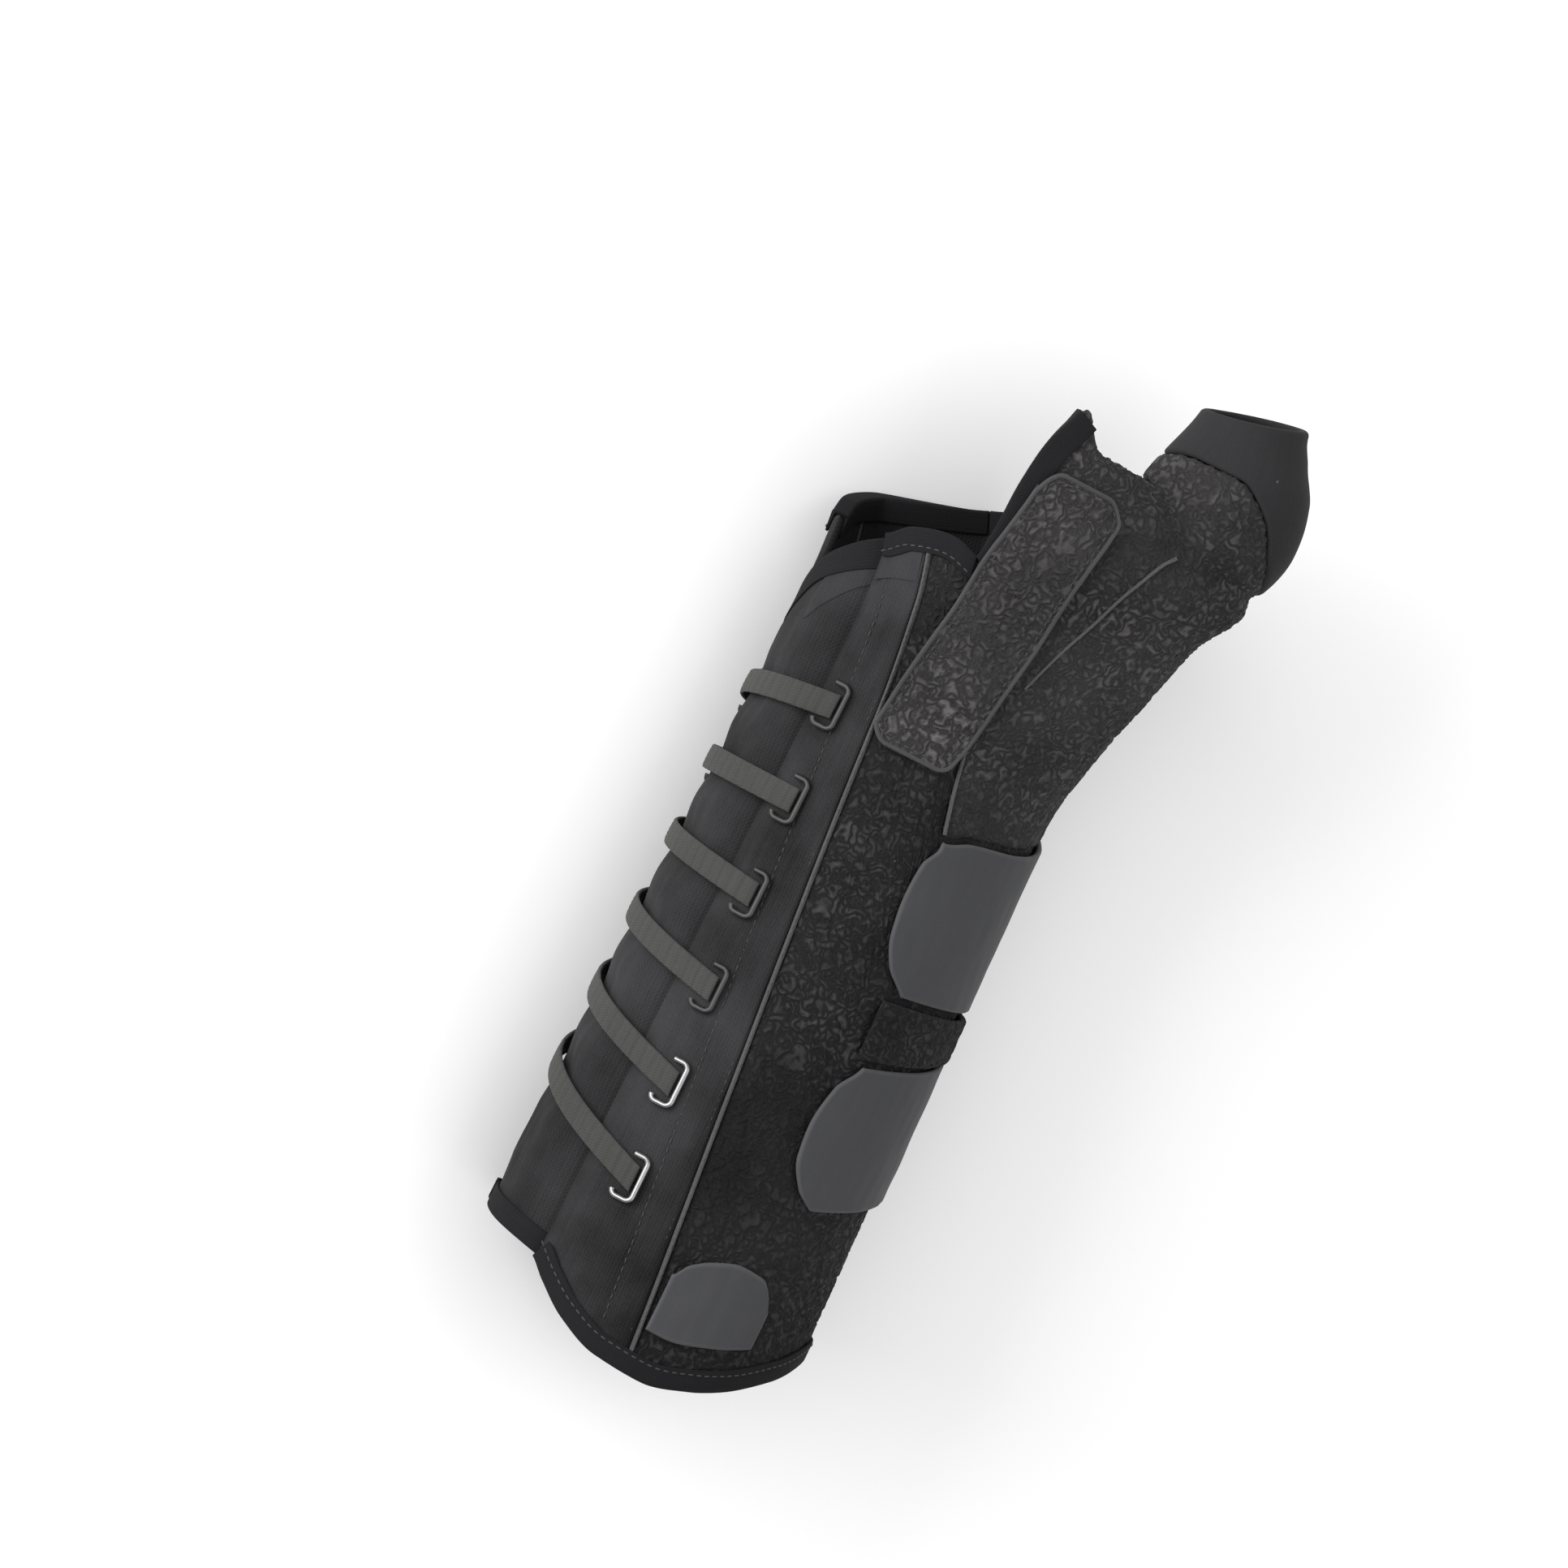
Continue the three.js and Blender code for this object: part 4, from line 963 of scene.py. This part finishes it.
class SPLINT_OT_gauntlet(PieceStep, bpy.types.Operator):
    """Build the pile-faced gauntlet round the ball of the thumb and its smooth sleeve"""

    bl_idname = "splint.gauntlet"
    bl_label = "Gauntlet"

    def build(self, sizes, form):
        thumb_wall = mm(sizes.thumb_wall)
        rise = mm(sizes.gauntlet_rise)
        root = THUMB_ROOT * form.length
        sheet = cloth_panel(
            form, "gauntlet_cloth", -22, 156, form.gauntlet_foot, form.distal, -form.wall, rise, 150, 90
        )
        digit = limb_plug("digit_space", form.thumb, root - 1, form.length * 1.2, -thumb_wall, 72, 40)
        boolean(sheet, digit, "DIFFERENCE")
        tube = thumb_ring(form, "thumb_tube", root, form.round_foot, -thumb_wall, 0, 96, 40)
        limb = limb_plug("limb_space", form.cuff, -25, form.length * 1.19, -form.wall, 120, 80)
        boolean(tube, limb, "DIFFERENCE")
        boolean(sheet, tube, "UNION")
        remesh = sheet.modifiers.new("even", "REMESH")
        remesh.mode = "VOXEL"
        remesh.voxel_size = VOXEL
        remesh.use_smooth_shade = True
        finish_modifier(sheet, remesh)
        smooth = sheet.modifiers.new("soften", "SMOOTH")
        smooth.factor = 0.5
        smooth.iterations = 4
        finish_modifier(sheet, smooth)
        sheet.data.materials.clear()
        self.roughen(sheet, form, mm(sizes.pile_relief))
        dress(sheet, ["light_looped_pile", "lining_knit"], "pile_fabric", "thumb_gauntlet", padded=True)
        sleeve = thumb_ring(
            form, "thumb_sleeve_cloth", lambda angle: form.round_foot(angle) - 0.2, form.thumb_rim,
            -thumb_wall, 0.0, 128, 60,
            relief=lambda a, y: 0.15 * np.sin(np.radians(a) * 3 + y / 6) * np.clip((y - 255) / 10, 0, 1) - 0.15,
        )
        dress(sleeve, ["neoprene_face"], "neoprene", "thumb_sleeve", padded=True)

    def roughen(self, piece, form, depth):
        """Sinks the pile between its loops and gives the inner face its lining."""
        mesh = piece.data
        count = len(mesh.vertices)
        points, normals = np.zeros(count * 3), np.zeros(count * 3)
        mesh.vertices.foreach_get("co", points)
        mesh.vertices.foreach_get("normal", normals)
        points, normals = points.reshape(-1, 3) * 1000, normals.reshape(-1, 3)
        limb = points - np.array(ORIGIN)
        at = limb[:, 1] / form.length
        middle = form.width_share(at) * form.width / 2 - FLATTENING
        across = limb[:, [0, 2]] - np.stack([form.shift_share(at) * form.depth, middle], -1)
        angle = np.degrees(np.arctan2(across[:, 0], across[:, 1]))
        digit = np.stack([form.thumb_x(at) * form.depth, form.thumb_z(at) * form.width], -1)
        to_digit = limb[:, [0, 2]] - digit
        inside_digit = (np.linalg.norm(to_digit, axis=1) < form.thumb_share(at) * form.bulge / 2 - 1.6) & (at > 0.87)
        inside_cuff = np.linalg.norm(across, axis=1) < form.radius(angle, limb[:, 1]) - form.wall / 2 - 0.5
        lined = inside_digit | inside_cuff
        sink = np.where(lined, 0, depth * (curls(limb, PILE_PITCH) - 1))
        mesh.vertices.foreach_set("co", ((points + normals * sink[:, None]) / 1000).ravel())
        slots = [int(all(lined[i] for i in polygon.vertices)) for polygon in mesh.polygons]
        mesh.polygons.foreach_set("material_index", slots)
        mesh.update()


class SPLINT_OT_straps(PieceStep, bpy.types.Operator):
    """Build the web strap, the pull tabs and the band between them"""

    bl_idname = "splint.straps"
    bl_label = "Straps and tabs"

    def build(self, sizes, form):
        loops = pile_relief(form, mm(sizes.pile_relief))
        tab = LAYER_GAP + mm(sizes.tab_thickness)

        def under_gauntlet(angle):
            return form.gauntlet_foot(np.maximum(angle, 9)) - 2 * FIT

        def smoothness(seed):
            return lambda angle, y: 0.1 * soft_noise(angle / 12, y / 16, seed) - 0.1

        for node_name, left, right, foot, head, high, columns, rows, crowd, relief, flat in (
            ("upper_tab", form.tab_end(UPPER_TAB_END), TAB_RUN_END, form.slant(0.446, 0.018), under_gauntlet,
             tab, 70, 40, 1.3, smoothness(11), (0.041, 0.076)),
            ("middle_tab", form.tab_end(MIDDLE_TAB_END), TAB_RUN_END, form.slant(0.212, 0.046),
             form.slant(0.366, 0.04), tab, 70, 40, 1.3, smoothness(12), (0.039, 0.074)),
            ("keeper_band", 12, TAB_RUN_END, form.slant(0.374, 0.036), form.slant(0.438, 0.018),
             LAYER_GAP + mm(sizes.strap_thickness), 110, 22, 1.0, loops, (0.015, 0.068)),
            ("lower_tab", -15, 23, lambda angle: form.proximal(angle) + 11.3, form.edge(LOWER_TAB_TOP),
             tab, 44, 30, 1.0, smoothness(13), (0.028, 0.024)),
        ):
            panel = cloth_panel(
                form, f"{node_name}_cloth", left, right, foot, head, LAYER_GAP, high, columns, rows, crowd, relief
            )
            finish, slot = ("looped_pile", "pile_fabric") if relief is loops else ("tab_cloth", "tab_fabric")
            dress(panel, [finish], slot, node_name)
        strap_low = mm(sizes.gauntlet_rise) + LAYER_GAP
        strap_high = strap_low + mm(sizes.strap_thickness)
        edges = self.web_strap_edges(form)
        strap = cloth_panel(form, "web_strap_cloth", *edges, strap_low, strap_high, 50, 120, relief=loops)
        dress(strap, ["light_looped_pile"], "pile_fabric", "web_strap")
        rim = panel_border(form, *edges, 0.025, 0.009, 90)
        edge = piping(form, "strap_piping", rim, 0.55, strap_high - 0.35, closed=True)
        dress(edge, ["strap_edge"], "welt")
        row = panel_border(form, *edges, 0.09, 0.03, 90)
        thread = stitches(form, "strap_stitches", [row], strap_high - 0.1, 2.3, 1.6, 0.4)
        dress(thread, ["sewing_thread"], "pile_fabric")

    def web_strap_edges(self, form):
        """The strap's left, right, lower and upper edge."""

        def end(at, round_, middle, half):
            def edge(angle):
                past = np.clip((np.abs(angle - middle) / half - 0.55) / 0.45, 0, 1)
                return (at + round_ * past**2) * form.length
            return edge

        return (
            form.tab_end(STRAP_LEFT), form.tab_end(STRAP_RIGHT), end(0.662, 0.022, -18, 18), end(0.98, -0.022, 5.5, 15),
        )


class SPLINT_OT_trim(PieceStep, bpy.types.Operator):
    """Build the raised seams, the edge tapes and their stitching"""

    bl_idname = "splint.trim"
    bl_label = "Seams and tapes"

    def build(self, sizes, form):
        tape_width, tape_thick = mm(sizes.tape_width), mm(sizes.tape_thickness)
        half = mm(sizes.welt_width) / 2
        for name, seam, node_name in (
            ("radial_welt_cloth", form.near_seam, "radial_seam_welt"),
            ("ulnar_welt_cloth", form.far_seam, "ulnar_seam_welt"),
        ):
            welt = cloth_panel(
                form, name, form.beside(seam, -half), form.beside(seam, half),
                lambda angle: form.proximal(angle) + WELT_INSET, lambda angle: form.distal(angle) - WELT_INSET,
                0.2 - form.wall, 0.8, 3, 260,
                relief=lambda angle, y: 0.08 * np.sin(2 * np.pi * y / 1.9) - 0.08,
            )
            dress(welt, ["seam_welt"], "welt", node_name)
        low, high = 0.05, 0.05 + tape_thick
        outline = tape_outline(tape_width, low, high, -form.wall)
        rows = []
        for name, edge, start, end, count, side, nodes in (
            ("lower_tape_cloth", form.proximal, NEAR_EDGE + 1, FAR_EDGE - 1, 420, -1.0, ["proximal_tape"]),
            ("upper_tape_cloth", form.distal, NEAR_EDGE + 1, -22.3, 90, 1.0, ["distal_tape"]),
            ("palm_tape_cloth", form.distal, 157.2, FAR_EDGE - 1, 160, 1.0, []),
        ):
            path = edge_path(edge, start, end, count)
            tape = swept(name, along_path(form, path, outline, side))
            dress(tape, ["folded_tape"], "binding_tape", *nodes)
            rows.append(path - [0, side * (tape_width - 1.1)])
        self.gauntlet_tapes(form, sizes, outline)
        self.seams(form, sizes)
        thread = stitches(form, "tape_stitches", rows, high + 0.12, 2.2, 1.5, 0.4)
        dress(thread, ["sewing_thread"], "binding_tape")

    def gauntlet_tapes(self, form, sizes, outline):
        """The folded tape on the gauntlet's hand opening, on each side of the thumb."""
        rise = mm(sizes.gauntlet_rise)
        lifted = outline + np.where(outline[:, 1:] > -form.wall / 2, [[0, rise]], [[0, 0]])
        for name, start, end in (("near_opening_tape", -21.6, -3.4), ("palm_opening_tape", 101, 156.4)):
            path = edge_path(form.distal, start, end, 120)
            tape = swept(name, along_path(form, path, lifted, 1.0))
            dress(tape, ["folded_tape"], "binding_tape")

    def seams(self, form, sizes):
        """Light pipings on the gauntlet's seams, and dark rows of stitches beside the cuff's near seam."""
        rise = mm(sizes.gauntlet_rise)
        paths = {
            "gauntlet_foot_piping": [(-9, 0.787), (-5, 0.74), (0, 0.693), (4, 0.648), (7.4, 0.611)],
            "gauntlet_slant_piping": [
                (9.5, 0.774), (14.6, 0.815), (22.9, 0.866), (29.3, 0.91), (35, 0.946), (38, 0.957),
            ],
        }
        for name, rows in paths.items():
            path = smooth_path(form, rows, 90)
            seam = piping(form, name, path, 0.5 if "foot" in name else 0.36, rise + 0.1)
            dress(seam, ["seam_welt"], "welt")
        y = np.linspace(0.035, 0.85, 260) * form.length
        rows = [np.stack([form.beside(form.near_seam, -off)(y), y], -1) for off in (1.9, STAY_WIDTH)]
        thread = stitches(form, "panel_stitches", rows, -0.32, 2.4, 1.6, 0.36)
        dress(thread, ["sewing_thread"], "smooth_fabric")


class SPLINT_OT_lacing(PieceStep, bpy.types.Operator):
    """Build the wire loops and the flat laces between them"""

    bl_idname = "splint.lacing"
    bl_label = "Loops and laces"

    def build(self, sizes, form):
        pattern = self.wire_loop(mm(sizes.loop_length), mm(sizes.loop_depth), mm(sizes.wire_diameter))
        flat = np.zeros(len(pattern.data.vertices) * 3)
        pattern.data.vertices.foreach_get("co", flat)
        flat = flat.reshape(-1, 3) * 1000
        up = FIT + mm(sizes.wire_diameter) / 2
        for i in range(LACE_COUNT):
            near = TOP_LOOP * form.length - i * LOOP_PITCH
            far = TOP_FAR_LOOP * form.length - i * FAR_LOOP_PITCH
            # The upper loops take the darker copy of the wire: painted shade.
            finish = "dulled_wire" if i < SHADED_LOOPS else "bright_wire"
            for side, y, angle, name in (
                (1, near, form.loop_row(near), "radial"), (-1, far, form.far_loop_row(far), "ulnar"),
            ):
                loop = pattern.copy()
                loop.data = pattern.data.copy()
                loop.name = f"{name}_wire_{i + 1}"
                bpy.context.collection.objects.link(loop)
                place = form.cuff(angle + side * form.sweep_of(flat[:, 0], angle, y), y + flat[:, 1], up + flat[:, 2])
                loop.data.vertices.foreach_set("co", to_frame(place).ravel())
                if side < 0:
                    loop.data.flip_normals()
                loop.data.update()
                dress(loop, [finish], "wire", f"{name}_loop_{i + 1}")
            lace = self.lace(form, sizes, i, near, far)
            dress(lace, ["flat_lace"], "lace", f"lace_{i + 1}")
        bpy.data.meshes.remove(pattern.data)

    def wire_loop(self, length, depth, wire):
        """One open loop, bent flat from a round wire: long side, two arms and a hooked end."""
        reach, half, corner = (depth - wire) / 2000, (length - wire) / 2000, 0.0016
        bpy.ops.object.select_all(action="DESELECT")
        bpy.ops.mesh.primitive_circle_add(
            vertices=12, radius=wire / 2000, location=(-reach, half, 0), rotation=(0, math.pi / 2, 0)
        )
        pattern = bpy.context.object
        bpy.ops.object.transform_apply(location=True, rotation=True, scale=True)
        bpy.ops.object.mode_set(mode="EDIT")
        bpy.ops.mesh.select_all(action="SELECT")

        def straight(x, y):
            bpy.ops.mesh.extrude_region_move(TRANSFORM_OT_translate={"value": (x, y, 0)})

        def bend(x, y, angle):
            bpy.ops.mesh.spin(steps=7, angle=angle, center=(x, y, 0), axis=(0, 0, 1))

        straight(2 * reach - corner, 0)
        bend(reach - corner, half - corner, math.pi / 2)
        straight(0, -2 * (half - corner))
        bend(reach - corner, corner - half, math.pi / 2)
        straight(-(2 * reach - corner), 0)
        bend(-reach, corner - half, math.pi / 2.2)
        bpy.ops.mesh.select_all(action="SELECT")
        bpy.ops.mesh.remove_doubles(threshold=1e-6)
        bpy.ops.mesh.fill_holes(sides=0)
        bpy.ops.mesh.select_all(action="SELECT")
        bpy.ops.mesh.normals_make_consistent(inside=False)
        bpy.ops.object.mode_set(mode="OBJECT")
        pattern.name = "wire_pattern"
        bpy.ops.object.shade_smooth_by_angle(angle=math.radians(50))
        return pattern

    def lace(self, form, sizes, i, near, far):
        start, end = form.loop_row(near), form.far_loop_row(far)

        def middle(angle):
            share = (start - angle) / (start - end)
            return near + (far - near) * share

        slope = (far - near) / np.radians(start - end) / (form.depth / 2)
        half = mm(sizes.lace_width) / 2 * np.hypot(1, slope)
        past = form.sweep_of(mm(sizes.loop_depth) / 2 - 1.5 * mm(sizes.wire_diameter), start, near)

        def crown(angle, y):
            off = (y - middle(angle)) / half
            return 0.18 * (1 - off**2) + 0.05 * np.sin(off * 17) - 0.15

        return cloth_panel(
            form, f"lace_cloth_{i + 1}", end - past, start + past, lambda a: middle(a) - half,
            lambda a: middle(a) + half, FIT, FIT + mm(sizes.lace_thickness), 130, 12, relief=crown,
        )


class SPLINT_OT_stage(bpy.types.Operator):
    """Build the pale floor, the soft light and the camera"""

    bl_idname = "splint.stage"
    bl_label = "Stage"

    def execute(self, context):
        scene = context.scene
        bpy.ops.object.select_all(action="DESELECT")
        bpy.ops.mesh.primitive_plane_add(size=8, location=(0, 0, 0))
        floor = bpy.context.object
        floor.name = "floor"
        pale = bpy.data.materials.new("pale_floor")
        pale.use_nodes = True
        tree = pale.node_tree
        grain = node(tree, "ShaderNodeTexNoise", {"Scale": 3.0, "Detail": 4.0})
        tint = Shading(tree).mix(grain.outputs["Fac"], (0.86, 0.86, 0.86, 1), (0.9, 0.9, 0.9, 1))
        shader = tree.nodes["Principled BSDF"]
        tree.links.new(tint, shader.inputs["Base Color"])
        shader.inputs["Roughness"].default_value = 0.9
        shader.inputs["Specular IOR Level"].default_value = 0.1
        floor.data.materials.append(pale)
        toward = Vector(VIEW_TOWARD).normalized()
        target = Vector(VIEW_TARGET)
        up = Vector(VIEW_UP)
        up = (up - toward * up.dot(toward)).normalized()
        right = up.cross(toward)
        camera = bpy.data.objects.new("camera", bpy.data.cameras.new("camera"))
        context.collection.objects.link(camera)
        camera.data.lens = LENS
        camera.data.sensor_width = 36
        turn = Matrix((right, up, toward)).transposed().to_4x4()
        camera.matrix_world = Matrix.Translation(target + toward * CAMERA_AWAY) @ turn
        scene.camera = camera
        for name, away, size, power in (
            ("key", toward * 1.1 + up * 0.7 - right * 0.9, 1.2, 26),
            ("fill", toward * 1.2 - up * 0.5 + right * 1.1, 1.6, 11),
            ("top", toward * 1.6 + up * 0.2, 2.0, 12),
        ):
            lamp = bpy.data.objects.new(name, bpy.data.lights.new(name, "AREA"))
            context.collection.objects.link(lamp)
            lamp.data.size = size
            lamp.data.energy = power
            lamp.location = target + away
            lamp.rotation_euler = away.to_track_quat("Z", "Y").to_euler()
        world = bpy.data.worlds.new("studio")
        world.use_nodes = True
        world.node_tree.nodes["Background"].inputs[0].default_value = (1, 1, 1, 1)
        world.node_tree.nodes["Background"].inputs[1].default_value = WORLD_LIGHT
        scene.world = world
        scene.view_settings.view_transform = "Standard"
        return {"FINISHED"}


STEPS = (
    SPLINT_OT_materials, SPLINT_OT_cuff, SPLINT_OT_tongue, SPLINT_OT_gauntlet, SPLINT_OT_straps, SPLINT_OT_trim,
    SPLINT_OT_lacing, SPLINT_OT_stage,
)


class SPLINT_PT_panel(bpy.types.Panel):
    """Sizes, colours and steps of the splint"""

    bl_idname = "SPLINT_PT_panel"
    bl_label = "Thumb splint"
    bl_space_type = "VIEW_3D"
    bl_region_type = "UI"
    bl_category = "Splint"

    def draw(self, context):
        for group in (context.scene.splint_sizes, context.scene.splint_looks):
            for key in group.bl_rna.properties.keys():
                if key not in {"rna_type", "name"}:
                    self.layout.prop(group, key)
        for step in STEPS:
            self.layout.operator(step.bl_idname)


CLASSES = (SplintSizes, SplintLooks, *STEPS, SPLINT_PT_panel)


def register():
    for item in CLASSES:
        bpy.utils.register_class(item)
    bpy.types.Scene.splint_sizes = bpy.props.PointerProperty(type=SplintSizes)
    bpy.types.Scene.splint_looks = bpy.props.PointerProperty(type=SplintLooks)


def unregister():
    del bpy.types.Scene.splint_looks
    del bpy.types.Scene.splint_sizes
    for item in reversed(CLASSES):
        bpy.utils.unregister_class(item)


def main():
    register()
    for step in (
        bpy.ops.splint.materials, bpy.ops.splint.cuff, bpy.ops.splint.tongue, bpy.ops.splint.gauntlet,
        bpy.ops.splint.straps, bpy.ops.splint.trim, bpy.ops.splint.lacing, bpy.ops.splint.stage,
    ):
        step()


if __name__ == "__main__":
    main()
